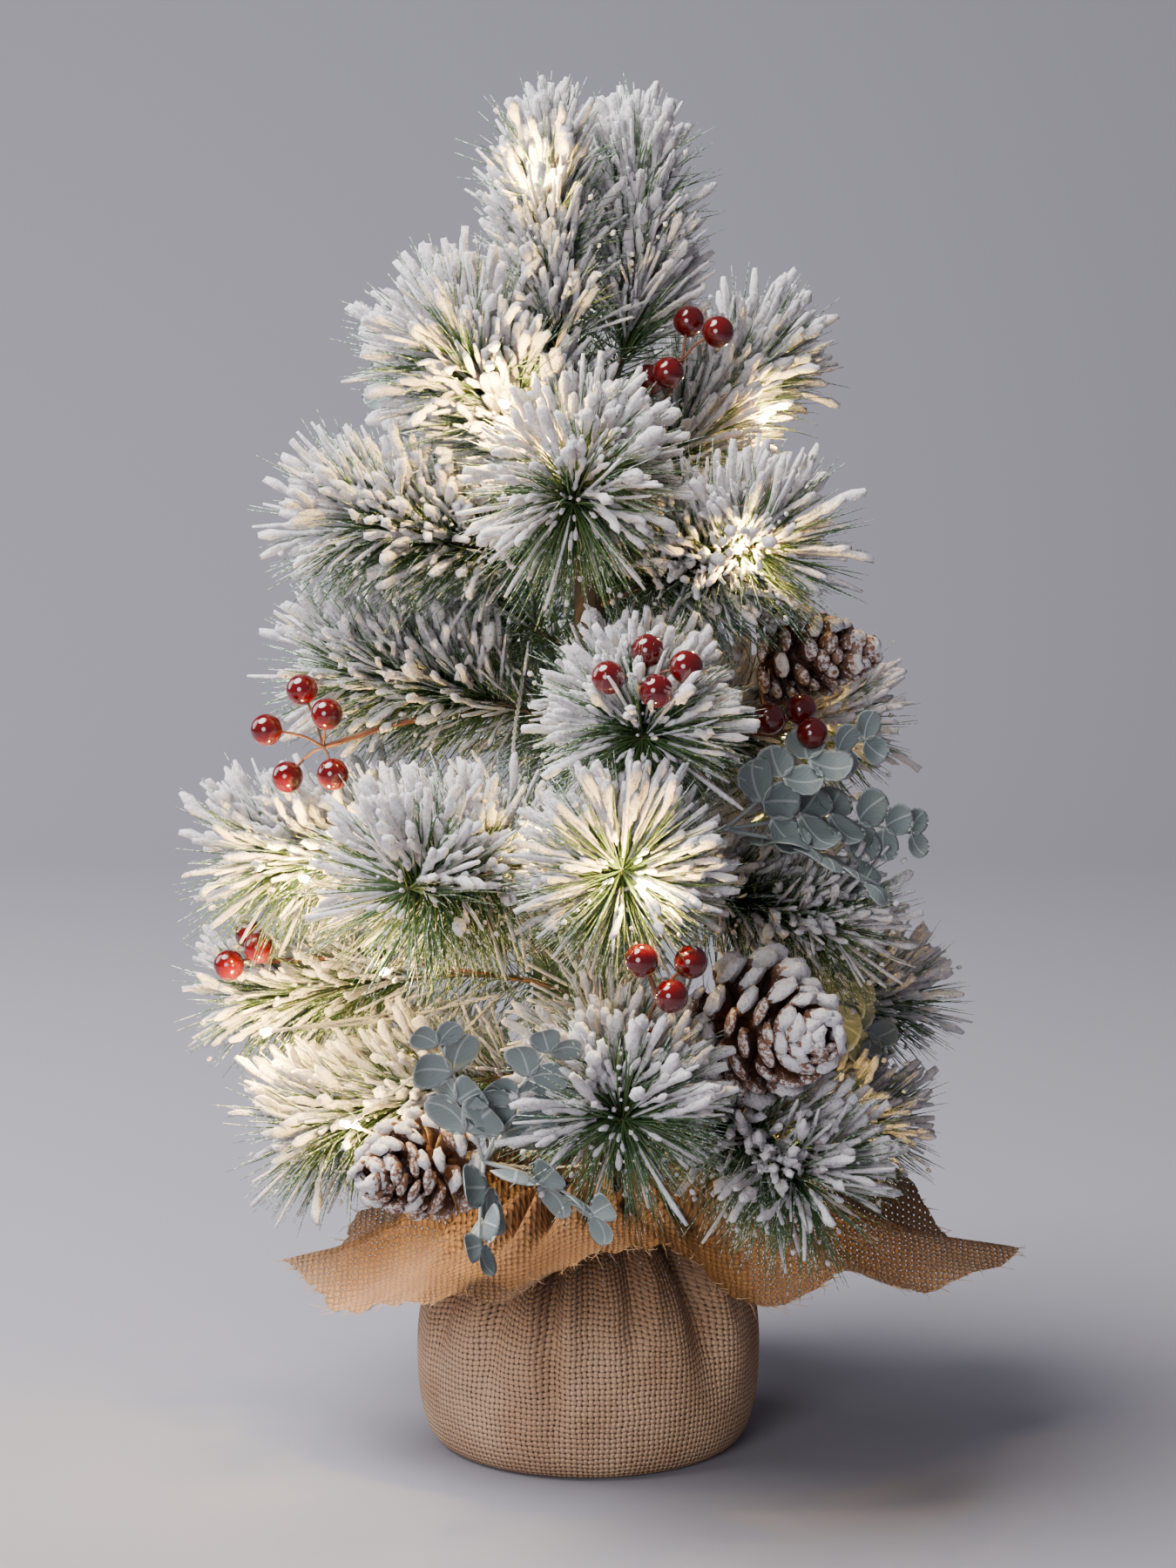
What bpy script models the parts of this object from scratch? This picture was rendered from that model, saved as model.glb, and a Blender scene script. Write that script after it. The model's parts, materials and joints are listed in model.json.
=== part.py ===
"""Pre-lit tabletop tree: a taped steel trunk set in a cement weight, wired brush
branches, decorative picks and cones, a battery light string, and a square of
hessian gathered round the pot and tied at the neck.

Metres, +Z up. The origin is the centre of the flat underside of the hessian,
and the front of the tree faces -Y. Azimuths are degrees from +X towards +Y.
"""
import math

import bmesh
import bpy
from mathutils import Vector

MM = 0.001
GAP = 0.3 * MM  # kept between faces that touch on the real tree

# ---- base
CLOTH = 1.4 * MM  # gathered hessian, woven yarn and its crimp
FOOT_RADIUS = 63 * MM
SACK_RADIUS = 76 * MM
SACK_WIDEST = 36 * MM  # height of the widest girth
NECK_RADIUS = 24 * MM
NECK_HEIGHT = 108 * MM
TIE_CORD = 1.4 * MM  # radius of the jute twine
POT_HEIGHT = 78 * MM
POT_WALL = 2.0 * MM
POT_FOOT_CLEAR = 8 * MM  # between pot and cloth at the floor
POT_FLARE = 7 * MM
CEMENT_DEPTH = 46 * MM

# ---- trunk and branches
TRUNK_RADIUS = 6 * MM
TRUNK_SPARE = 6 * MM  # of the pole above the highest branch's root
STEM_RADIUS = 1.6 * MM
STEM_CLEAR = 1.2 * MM  # between the trunk's tape and a branch's first wire
BRUSH_RADIUS = 9.5 * MM  # packed core of the needle brush
NEEDLE_REACH = 24 * MM  # needles that stand out past the stem's tip
ROOT_PITCH = 22  # degrees above level at which a stem leaves the trunk
LEADER_PITCH = 50
LEADER_TIP = 70  # a branch whose tip is steeper than this is a leader
BRUSH_FILL = 0.45  # share of the brush over which it thickens from the bare stem

# name: azimuth, reach and height of the stem's tip, height of its root (mm),
# pitch of its tip (degrees), length of its brush (mm)
BRANCHES = {
    "leader_left": (-132, 26, 572, 464, 84, 84),
    "leader_right": (28, 24, 569, 460, 80, 86),
    "branch_crown_left": (-149, 62, 480, 418, 35, 52),
    "branch_crown_front": (-94, 92, 436, 424, -12, 50),
    "branch_crown_right": (37, 88, 470, 410, 32, 58),
    "branch_crown_back": (110, 72, 462, 404, 35, 52),
    "branch_upper_right": (-39, 92, 402, 372, 14, 50),
    "branch_upper_left": (-162, 100, 410, 384, 10, 60),
    "branch_upper_back_right": (72, 98, 392, 362, 12, 55),
    "branch_upper_back_left": (138, 98, 372, 350, 12, 55),
    "branch_middle_front": (-78, 136, 336, 322, -8, 56),
    "branch_middle_left": (-176, 100, 342, 318, 8, 60),
    "branch_middle_right": (10, 108, 318, 300, 6, 60),
    "branch_middle_back": (98, 112, 312, 300, 4, 58),
    "branch_low_left": (-172, 138, 262, 262, 4, 60),
    "branch_low_front_left": (-117, 140, 264, 268, 0, 56),
    "branch_low_front": (-83, 158, 268, 264, 8, 58),
    "branch_low_right": (-28, 116, 240, 250, -4, 58),
    "branch_low_back_right": (50, 130, 252, 258, 0, 58),
    "branch_low_back_left": (142, 132, 250, 256, 0, 58),
    "branch_lower_left": (172, 144, 194, 200, -6, 58),
    "branch_lower_right": (18, 140, 188, 158, 4, 58),
    "branch_lower_back": (92, 136, 184, 264, -30, 56),
    "branch_bottom_front": (-85, 158, 180, 200, -10, 54),
    "branch_bottom_left": (-170, 116, 144, 160, -12, 54),
    "branch_bottom_right": (-3, 122, 142, 150, 2, 54),
    "branch_bottom_front_right": (-51, 140, 144, 158, -22, 54),
    "branch_bottom_back_right": (42, 126, 146, 134, 0, 54),
    "branch_bottom_back_left": (138, 128, 148, 136, 0, 54),
}

TRUNK_TOP = max(row[3] for row in BRANCHES.values()) * MM + TRUNK_SPARE

# ---- picks. Each is twisted to a branch part of the way along its bare stem, or
# taped to the trunk: then its row starts with an azimuth (degrees) and a height (mm).
BERRY_RADIUS = 6.8 * MM
TWIG_RADIUS = 0.7 * MM
PICK_RADIUS = 1.3 * MM
PICK_TWIST = 2  # which of a branch's eight stem stretches a pick is twisted to
# where it is fixed, the fork, then the berries (mm)
BERRY_PICKS = {
    "berry_pick_left": ("branch_middle_left", (-112, -48, 316), (
        (-121, -45, 340), (-135, -60, 325), (-110, -55, 331), (-128, -40, 302), (-107, -66, 307))),
    "berry_pick_top_right": ("branch_crown_right", (40, -20, 478), (
        (43, -13, 494), (55, -26, 490), (34, -32, 473), (26, -12, 469))),
    "berry_pick_centre": ("branch_middle_front", (22, -134, 353), (
        (24, -133, 367), (39, -146, 362), (8, -148, 358), (27, -151, 353))),
    "berry_pick_low_front": ("branch_low_front", (28, -150, 228), (
        (21, -170, 248), (41, -158, 245), (33, -172, 234), (22, -147, 212))),
    "berry_pick_low_left": ("branch_lower_left", (-142, 0, 214), (
        (-149, 7, 225), (-157, -8, 214), (-143, -15, 223))),
    "berry_pick_right": ("branch_middle_right", (80, -54, 322), (
        (76, -62, 330), (90, -50, 332), (94, -64, 324))),
    "berry_pick_back": ("branch_middle_back", (-58, 104, 344), (
        (-52, 108, 358), (-70, 106, 352), (-58, 120, 346), (-46, 120, 342))),
}
# where it is fixed, azimuth, reach and height of the cone's middle (mm), pitch
# (degrees), length and radius (mm)
CONES = {
    "pine_cone_right": ("branch_middle_right", -12, 96, 352, 6, 58, 25),
    "pine_cone_low_right": ("branch_bottom_front_right", -57, 140, 209, 4, 62, 33),
    "pine_cone_low_left": ((-127, 158), -127, 122, 146, 2, 58, 26),
    "pine_cone_back": ("branch_lower_back", 117, 114, 222, -10, 58, 26),
}
# where it is fixed, the crotch, then the tip of each sprig (mm)
SPRIGS = {
    "eucalyptus_right": ("branch_low_right", (60, -52, 284), (
        (121, -35, 323), (142, -25, 278), (122, -58, 262))),
    "eucalyptus_low_left": ((-106, 180), (-35, -100, 184), (
        (-58, -128, 223), (-12, -142, 226), (-30, -146, 138), (6, -140, 156))),
    "eucalyptus_low_right": ("branch_lower_right", (92, -10, 186), (
        (116, -22, 208), (128, -6, 178))),
    "eucalyptus_top_left": ("branch_crown_left", (-52, 14, 448), (
        (-78, 20, 498), (-92, 22, 466))),
}
CONE_WHORLS = 5
LEAF_THICK = 1.1 * MM
LEAF_SPACING = 15 * MM
LEAF_LENGTH = 13 * MM

# ---- battery box, upright against the back of the trunk
CELL_RADIUS = 7.1 * MM
CELL_BODY = 49.2 * MM
CELL_NUB = 1.3 * MM
CELL_PITCH = 14.8 * MM
CELL_COUNT = 3
BOX_WALL = 1.5 * MM
BOX_Z = 178 * MM  # underside of the box
SPRING_HEIGHT = 3.0 * MM
CONTACT = 0.5 * MM
COVER = 1.4 * MM
LIP = 1.3 * MM  # rails that hold the sliding cover
SWITCH_BAY = 12 * MM
SWITCH_KNOB = 3.0 * MM  # half the knob's length
SWITCH_TRAVEL = 3.5 * MM  # each way from the middle setting
KNOB_HALF = 2.2 * MM  # half the knob's height
FLANGE_HALF = 4 * MM  # half the height of the flange behind it
FLANGE_THICK = 1.6 * MM
KNOB_PROUD = 1.4 * MM
GRIP_HALF = 9 * MM  # half the length of a finger rib on the cover
GRIP_WIDE = 1.2 * MM
GRIP_PROUD = 0.6 * MM
STRIP_HALF = 5 * MM  # half the width of a contact strip
COIL_FOOT = 3.6 * MM  # radius of a spring where it is fixed
COIL_TIP = 2.0 * MM
CELL_NUB_RADIUS = 2.6 * MM
CELL_BEVEL = 0.6 * MM
STRAP_Z = 218 * MM
STRAP_HEIGHT = 5 * MM
STRAP_THICK = 1.0 * MM

# ---- light string: the wire's run in mm after it leaves the box. It is tucked in
# beside the trunk and comes out beside a brush at each lamp, so inner points and
# lamps take turns.
WIRE_RADIUS = 0.7 * MM
LAMP_RADIUS = 1.7 * MM
STRING_LEAD = ((7, 18, 268), (13, 20, 283))
STRING_RUN = (
    (34, 25, 278), (77, 71, 256), (39, 19, 181), (78, 57, 156), (42, -1, 130), (92, -18, 145),
    (28, -31, 126), (59, -87, 146), (-22, -34, 129), (-85, -29, 152), (-38, -13, 202), (-111, 16, 213),
    (-36, 26, 197), (-79, 58, 158), (-26, 36, 181), (-72, 69, 244), (-38, 24, 227), (-103, -14, 250),
    (-45, -14, 238), (-60, -89, 267), (-22, -43, 254), (15, -120, 281), (20, -25, 271), (70, 12, 301),
    (25, 21, 279), (-12, 85, 297), (-16, 25, 307), (-55, 37, 356), (-28, -10, 342), (22, -102, 352),
    (11, -25, 352), (55, -27, 392), (26, -7, 399), (55, 24, 447), (17, -16, 429), (-38, -34, 451),
    (-15, -17, 431), (-4, -59, 451), (-3, -8, 477), (-3, -18, 544),
)


def material(name, colour, roughness, metallic=0.0):
    """A plain finish for one kind of part."""
    made = bpy.data.materials.get(name)
    if made is None:
        made = bpy.data.materials.new(name)
        made.use_nodes = True
        shader = made.node_tree.nodes["Principled BSDF"]
        shader.inputs["Base Color"].default_value = (*colour, 1.0)
        shader.inputs["Roughness"].default_value = roughness
        shader.inputs["Metallic"].default_value = metallic
    return made


def finishes():
    """Every finish on the tree, by name."""
    return {
        "pot": material("pot", (0.05, 0.05, 0.05), 0.5),
        "cement": material("cement", (0.45, 0.44, 0.42), 0.9),
        "bark_tape": material("bark_tape", (0.16, 0.08, 0.04), 0.85),
        "hessian": material("hessian", (0.52, 0.33, 0.17), 0.95),
        "twine": material("twine", (0.45, 0.30, 0.16), 0.95),
        "foliage": material("foliage", (0.62, 0.68, 0.66), 0.9),
        "berry": material("berry", (0.42, 0.01, 0.02), 0.12),
        "cone": material("cone", (0.22, 0.11, 0.06), 0.8),
        "eucalyptus": material("eucalyptus", (0.30, 0.37, 0.37), 0.7),
        "battery_case": material("battery_case", (0.06, 0.13, 0.08), 0.4),
        "cell": material("cell", (0.10, 0.10, 0.11), 0.35),
        "contact": material("contact", (0.75, 0.73, 0.68), 0.3, 1.0),
        "strap": material("strap", (0.04, 0.09, 0.05), 0.5),
        "wire": material("wire", (0.80, 0.74, 0.60), 0.25),
    }


def point(triple):
    """A place given in millimetres."""
    return Vector(triple) * MM


def polar(azimuth, radius, height):
    angle = math.radians(azimuth)
    return Vector((radius * math.cos(angle), radius * math.sin(angle), height))


def add_object(name, mesh_bm, finish, smooth=True, closed=True):
    """Turn a bmesh into a named object with its finish."""
    if closed:
        bmesh.ops.recalc_face_normals(mesh_bm, faces=mesh_bm.faces)
    mesh = bpy.data.meshes.new(name)
    mesh_bm.to_mesh(mesh)
    mesh_bm.free()
    if smooth:
        mesh.shade_smooth()
        mesh.set_sharp_from_angle(angle=math.radians(40))
    made = bpy.data.objects.new(name, mesh)
    made.data.materials.append(finish)
    bpy.context.scene.collection.objects.link(made)
    return made


def boolean(target, tool, operation):
    """Cut target with tool, or fuse tool to it; the tool is only a guide."""
    tool.hide_render = True
    tool.display_type = "WIRE"
    modifier = target.modifiers.new(operation.lower(), "BOOLEAN")
    modifier.operation = operation
    modifier.object = tool
    modifier.use_self = operation == "UNION"


def sweep(mesh_bm, centres, radii, sides):
    """A closed round bar along a line of centres, with its own radius at each."""
    rings = []
    across = None
    last = len(centres) - 1
    for index, centre in enumerate(centres):
        ahead = centres[min(index + 1, last)] - centres[max(index - 1, 0)]
        ahead.normalize()
        if across is None:
            across = ahead.orthogonal().normalized()
        across = (across - ahead * across.dot(ahead)).normalized()
        side = ahead.cross(across)
        ring = []
        for step in range(sides):
            turn = 2 * math.pi * step / sides
            offset = across * math.cos(turn) + side * math.sin(turn)
            ring.append(mesh_bm.verts.new(centre + offset * radii[index]))
        rings.append(ring)
    for lower, upper in zip(rings, rings[1:]):
        for step in range(sides):
            after = (step + 1) % sides
            mesh_bm.faces.new((lower[step], lower[after], upper[after], upper[step]))
    mesh_bm.faces.new(rings[0][::-1])
    mesh_bm.faces.new(rings[-1])


def turned(profile, sides):
    """A solid of revolution about Z from (radius, height) pairs; radius 0 is a pole."""
    mesh_bm = bmesh.new()
    rings = []
    for radius, height in profile:
        if radius == 0:
            rings.append([mesh_bm.verts.new((0, 0, height))])
            continue
        ring = []
        for step in range(sides):
            turn = 2 * math.pi * step / sides
            ring.append(mesh_bm.verts.new((radius * math.cos(turn), radius * math.sin(turn), height)))
        rings.append(ring)
    if len(rings[0]) > 1:
        rings.append(rings[0])  # a profile that meets no pole closes on itself
    for lower, upper in zip(rings, rings[1:]):
        for step in range(sides):
            after = (step + 1) % sides
            if len(lower) == 1:
                mesh_bm.faces.new((lower[0], upper[after], upper[step]))
            elif len(upper) == 1:
                mesh_bm.faces.new((lower[step], lower[after], upper[0]))
            else:
                mesh_bm.faces.new((lower[step], lower[after], upper[after], upper[step]))
    return mesh_bm


def block(mesh_bm, low, high):
    """A box between two corners."""
    size = Vector(high) - Vector(low)
    made = bmesh.ops.create_cube(mesh_bm, size=1.0)
    bmesh.ops.scale(mesh_bm, vec=size, verts=made["verts"])
    bmesh.ops.translate(mesh_bm, vec=(Vector(high) + Vector(low)) / 2, verts=made["verts"])


def block_object(name, low, high, finish):
    mesh_bm = bmesh.new()
    block(mesh_bm, low, high)
    return add_object(name, mesh_bm, finish, smooth=False)


def bezier(start, start_way, end, end_way, steps):
    """Evenly stepped points on a smooth curve with given end directions."""
    pull = (end - start).length / 3
    first = start + start_way.normalized() * pull
    second = end - end_way.normalized() * pull
    line = []
    for step in range(steps + 1):
        t = step / steps
        u = 1 - t
        line.append(start * u**3 + first * 3 * u * u * t + second * 3 * u * t * t + end * t**3)
    return line


# ---- base: hessian, twine, pot, cement and trunk

# The cloth is a square, so its free edge reaches furthest at the corners. Each
# row is azimuth (degrees), reach and height of the edge (mm).
RUFFLE_EDGE = (
    (-171, 135, 82), (-154, 124, 77), (-135, 113, 78), (-115, 104, 91), (-90, 92, 106),
    (-70, 93, 105), (-50, 111, 86), (-33, 127, 88), (-15, 151, 79), (0, 191, 79),
    (9, 168, 82), (20, 154, 106), (36, 120, 112), (60, 108, 88), (88, 152, 80),
    (118, 108, 90), (150, 96, 99), (174, 108, 88),
)
RUFFLE_HUMP = 7 * MM  # the cloth stands up from the tie before it falls
CLOTH_SPOKES = 48


def edge_at(azimuth):
    """Reach and height of the cloth's free edge at an azimuth, smoothly joined."""
    rows = RUFFLE_EDGE
    count = len(rows)
    for index in range(count):
        here = rows[index]
        after = rows[(index + 1) % count]
        span = (after[0] - here[0]) % 360
        along = (azimuth - here[0]) % 360
        if along < span:
            t = along / span
            t = t * t * (3 - 2 * t)
            reach = here[1] + (after[1] - here[1]) * t
            height = here[2] + (after[2] - here[2]) * t
            return reach * MM, height * MM
    return rows[0][1] * MM, rows[0][2] * MM


def sack_profile():
    """(radius, height) of the cloth's outer face from the foot up to the tie."""
    profile = [(FOOT_RADIUS * 0.5, 0.0), (FOOT_RADIUS, 0.0)]
    belly_foot = 4
    for step in range(1, belly_foot + 1):
        turn = math.radians(90 * step / belly_foot)
        bulge = (SACK_RADIUS - FOOT_RADIUS) * math.sin(turn)
        profile.append((FOOT_RADIUS + bulge, SACK_WIDEST * (1 - math.cos(turn))))
    shoulder = 5
    for step in range(1, shoulder + 1):
        turn = math.radians(90 * step / shoulder)
        radius = NECK_RADIUS + (SACK_RADIUS - NECK_RADIUS) * math.cos(turn)
        profile.append((radius, SACK_WIDEST + (NECK_HEIGHT - SACK_WIDEST) * math.sin(turn) ** 0.9))
    return profile


def hessian(finish):
    mesh_bm = bmesh.new()
    centre = mesh_bm.verts.new((0, 0, 0))
    rings = []
    profile = sack_profile()
    throat = TIE_CORD * 2 + 2 * GAP
    profile.append((NECK_RADIUS, NECK_HEIGHT + throat))
    for radius, height in profile:
        ring = []
        for spoke in range(CLOTH_SPOKES):
            ring.append(mesh_bm.verts.new(polar(360 * spoke / CLOTH_SPOKES, radius, height)))
        rings.append(ring)
    collar = NECK_HEIGHT + throat
    for t in (0.14, 0.34, 0.6, 0.82, 1.0):
        ring = []
        for spoke in range(CLOTH_SPOKES):
            azimuth = 360 * spoke / CLOTH_SPOKES
            reach, height = edge_at(azimuth)
            radius = NECK_RADIUS + (reach - NECK_RADIUS) * t
            lift = RUFFLE_HUMP * math.sin(math.pi * min(1.0, t * 1.25)) * (1 - t) * 2
            level = collar + (height - collar) * t + lift
            ring.append(mesh_bm.verts.new(polar(azimuth, radius, level)))
        rings.append(ring)
    for spoke in range(CLOTH_SPOKES):
        after = (spoke + 1) % CLOTH_SPOKES
        mesh_bm.faces.new((centre, rings[0][after], rings[0][spoke]))
        for lower, upper in zip(rings, rings[1:]):
            mesh_bm.faces.new((lower[spoke], lower[after], upper[after], upper[spoke]))
    made = add_object("hessian_wrap", mesh_bm, finish, closed=False)
    wall = made.modifiers.new("cloth", "SOLIDIFY")
    wall.thickness = CLOTH
    wall.offset = -1
    wall.use_even_offset = False
    return made


def neck_tie(finish):
    middle = NECK_RADIUS + GAP + TIE_CORD
    height = NECK_HEIGHT + GAP + TIE_CORD
    profile = []
    for step in range(6):
        turn = math.radians(60 * step)
        profile.append((middle + TIE_CORD * math.cos(turn), height + TIE_CORD * math.sin(turn)))
    add_object("neck_tie", turned(profile, 28), finish)


def pot_radius(height):
    """Outer radius of the pot at a height above its own foot."""
    foot = FOOT_RADIUS - POT_FOOT_CLEAR
    return foot + POT_FLARE * height / POT_HEIGHT


def pot_and_cement(pot_finish, cement_finish):
    foot = CLOTH + GAP
    profile = (
        (0, foot), (pot_radius(0), foot), (pot_radius(POT_HEIGHT * 0.6), foot + POT_HEIGHT * 0.6),
        (pot_radius(POT_HEIGHT * 0.6) - POT_WALL, foot + POT_HEIGHT * 0.6),
        (pot_radius(0) - POT_WALL, foot + POT_WALL), (0, foot + POT_WALL),
    )
    add_object("pot", turned(profile, 28), pot_finish)
    floor = foot + POT_WALL + GAP
    bore = TRUNK_RADIUS + GAP
    wide = POT_WALL + GAP
    profile = (
        (bore, floor), (pot_radius(0) - wide, floor),
        (pot_radius(CEMENT_DEPTH) - wide - GAP, floor + CEMENT_DEPTH),
        (bore, floor + CEMENT_DEPTH),
    )
    add_object("cement_weight", turned(profile, 28), cement_finish)
    return floor


def trunk(floor, finish):
    nose = TRUNK_RADIUS * 0.6
    profile = (
        (0, floor), (TRUNK_RADIUS, floor), (TRUNK_RADIUS, TRUNK_TOP - nose),
        (nose, TRUNK_TOP), (0, TRUNK_TOP),
    )
    add_object("trunk", turned(profile, 12), finish)


# ---- branches

def branch_path(azimuth, reach, tip_height, root_height, pitch):
    """The stem's centre line, in the upright plane at its azimuth."""
    leader = pitch > LEADER_TIP
    rise = math.radians(LEADER_PITCH if leader else ROOT_PITCH)
    start = polar(azimuth, TRUNK_RADIUS + STEM_CLEAR + STEM_RADIUS / 2, root_height * MM)
    end = polar(azimuth, reach * MM, tip_height * MM)
    start_way = polar(azimuth, math.cos(rise), math.sin(rise))
    end_way = polar(azimuth, math.cos(math.radians(pitch)), math.sin(math.radians(pitch)))
    return bezier(start, start_way, end, end_way, 8), end_way


def branch(name, row, finish):
    azimuth, reach, tip_height, root_height, pitch, brush = row
    line, end_way = branch_path(azimuth, reach, tip_height, root_height, pitch)
    lengths = [0.0]
    for before, after in zip(line, line[1:]):
        lengths.append(lengths[-1] + (after - before).length)
    bare = lengths[-1] - brush * MM
    radii = []
    for length in lengths:
        fill = min(1.0, max(0.0, (length - bare) / (brush * MM * BRUSH_FILL)))
        radii.append(STEM_RADIUS + (BRUSH_RADIUS - STEM_RADIUS) * fill)
    line.append(line[-1] + end_way * NEEDLE_REACH * 0.7)
    radii.append(BRUSH_RADIUS * 0.9)
    line.append(line[-2] + end_way * NEEDLE_REACH)
    radii.append(BRUSH_RADIUS * 0.3)
    root = line[0].copy()
    mesh_bm = bmesh.new()
    sweep(mesh_bm, [centre - root for centre in line], radii, 6)
    made = add_object(name, mesh_bm, finish)
    made.location = root


# ---- picks

def pick_start(fixing, end):
    """Where a pick's wire begins and sets off, on a branch's stem or on the trunk."""
    if isinstance(fixing, tuple):
        azimuth, height = fixing
        start = polar(azimuth, TRUNK_RADIUS + STEM_CLEAR + PICK_RADIUS, height * MM)
        return start, polar(azimuth, 1.0, 0.25)
    line, _ = branch_path(*BRANCHES[fixing][:5])
    way = (line[PICK_TWIST + 1] - line[PICK_TWIST]).normalized()
    aside = end - line[PICK_TWIST]
    aside = (aside - way * aside.dot(way)).normalized()
    return line[PICK_TWIST] + aside * (STEM_RADIUS + PICK_RADIUS + GAP), way * 0.6 + aside


def pick_stem(fixing, end, end_way=None):
    """Centre line of a pick's papered wire, from where it is fixed to its end."""
    start, start_way = pick_start(fixing, end)
    return bezier(start, start_way, end, end_way or end - start, 5)


def fused(name, stem_bm, extra_bm, finish):
    """One solid from a stem and everything that grows on it."""
    made = add_object(name, stem_bm, finish)
    growth = add_object(name + "_growth", extra_bm, finish)
    boolean(made, growth, "UNION")


def berry_pick(name, fixing, fork, berries, finish):
    stem_bm = bmesh.new()
    line = pick_stem(fixing, point(fork))
    sweep(stem_bm, line, [PICK_RADIUS] * len(line), 6)
    extra_bm = bmesh.new()
    for berry in berries:
        place = point(berry)
        sweep(extra_bm, [point(fork), place], [TWIG_RADIUS, TWIG_RADIUS], 4)
        ball = bmesh.ops.create_uvsphere(extra_bm, u_segments=7, v_segments=4, radius=BERRY_RADIUS)
        bmesh.ops.translate(extra_bm, vec=place, verts=ball["verts"])
    fused(name, stem_bm, extra_bm, finish)


def pine_cone(name, row, finish):
    """A cone on its wire: whorls of scales, fat near the base, narrow at the tip."""
    fixing, azimuth, reach, height, pitch, length, radius = row
    centre = polar(azimuth, reach * MM, height * MM)
    way = polar(azimuth, math.cos(math.radians(pitch)), math.sin(math.radians(pitch)))
    base = centre - way * length * MM * 0.5
    line = pick_stem(fixing, base, way)
    radii = [PICK_RADIUS] * len(line)
    for whorl in range(CONE_WHORLS):
        t = (whorl + 0.5) / CONE_WHORLS
        girth = radius * MM * math.sin(math.pi * min(1.0, 0.22 + 0.78 * t) ** 0.9) ** 0.6
        foot = base + way * length * MM * (whorl / CONE_WHORLS)
        line.append(foot + way * length * MM * 0.02)
        radii.append(max(girth * 0.72, PICK_RADIUS * 2))
        line.append(foot + way * length * MM * 0.13)
        radii.append(max(girth, PICK_RADIUS * 2))
    line.append(base + way * length * MM)
    radii.append(PICK_RADIUS * 2)
    mesh_bm = bmesh.new()
    sweep(mesh_bm, line, radii, 9)
    add_object(name, mesh_bm, finish)


def leaf(mesh_bm, foot, way, face, length):
    """A round leaf: a thin lens from its foot, lying across the face direction."""
    across = way.cross(face).normalized()
    middle = foot + way * length * 0.5
    rim = []
    for step in range(6):
        turn = math.radians(60 * step)
        rim.append(mesh_bm.verts.new(
            middle + way * length * 0.5 * math.cos(turn) + across * length * 0.42 * math.sin(turn)))
    top = mesh_bm.verts.new(middle + face * LEAF_THICK)
    under = mesh_bm.verts.new(middle - face * LEAF_THICK)
    for step in range(6):
        after = (step + 1) % 6
        mesh_bm.faces.new((rim[step], rim[after], top))
        mesh_bm.faces.new((rim[after], rim[step], under))


def sprig_pick(name, fixing, crotch, tips, finish):
    stem_bm = bmesh.new()
    crotch = point(crotch)
    line = pick_stem(fixing, crotch)
    sweep(stem_bm, line, [PICK_RADIUS] * len(line), 6)
    extra_bm = bmesh.new()
    for tip in tips:
        run = point(tip) - crotch
        way = run.normalized()
        side = way.cross(Vector((0, 0, 1))).normalized()
        face = side.cross(way).normalized()
        sweep(extra_bm, [crotch, point(tip)], [TWIG_RADIUS, TWIG_RADIUS], 5)
        pairs = max(2, int(run.length / LEAF_SPACING))
        for pair in range(pairs):
            foot = crotch + run * ((pair + 0.7) / pairs)
            size = LEAF_LENGTH * (1.15 - 0.5 * pair / pairs)
            for hand in (-1, 1):
                leaf(extra_bm, foot, (side * hand + way * 0.5).normalized(), face, size)
    fused(name, stem_bm, extra_bm, finish)


# ---- battery box

BOX_HALF = CELL_PITCH * (CELL_COUNT - 1) / 2 + CELL_RADIUS + GAP * 3 + BOX_WALL
BOX_BACK = TRUNK_RADIUS + 4 * GAP
CELL_Y = BOX_BACK + BOX_WALL + GAP + CELL_RADIUS
COVER_Y = CELL_Y + CELL_RADIUS + 3 * GAP  # inner face of the cover's slot
BOX_FRONT = COVER_Y + COVER + 2 * GAP + 2 * GAP
CONTACT_Z = BOX_Z + BOX_WALL + GAP
TOP_CONTACT_Z = CONTACT_Z + CONTACT + SPRING_HEIGHT + GAP + CELL_BODY + CELL_NUB + GAP
BAY_FLOOR_Z = TOP_CONTACT_Z + CONTACT + GAP + BOX_WALL
BOX_TOP = BAY_FLOOR_Z + SWITCH_BAY + BOX_WALL
CELL_BAY_TOP = BAY_FLOOR_Z - BOX_WALL
LEAD_HOLE = Vector((BOX_HALF * 0.25, CELL_Y, BOX_TOP))


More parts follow.
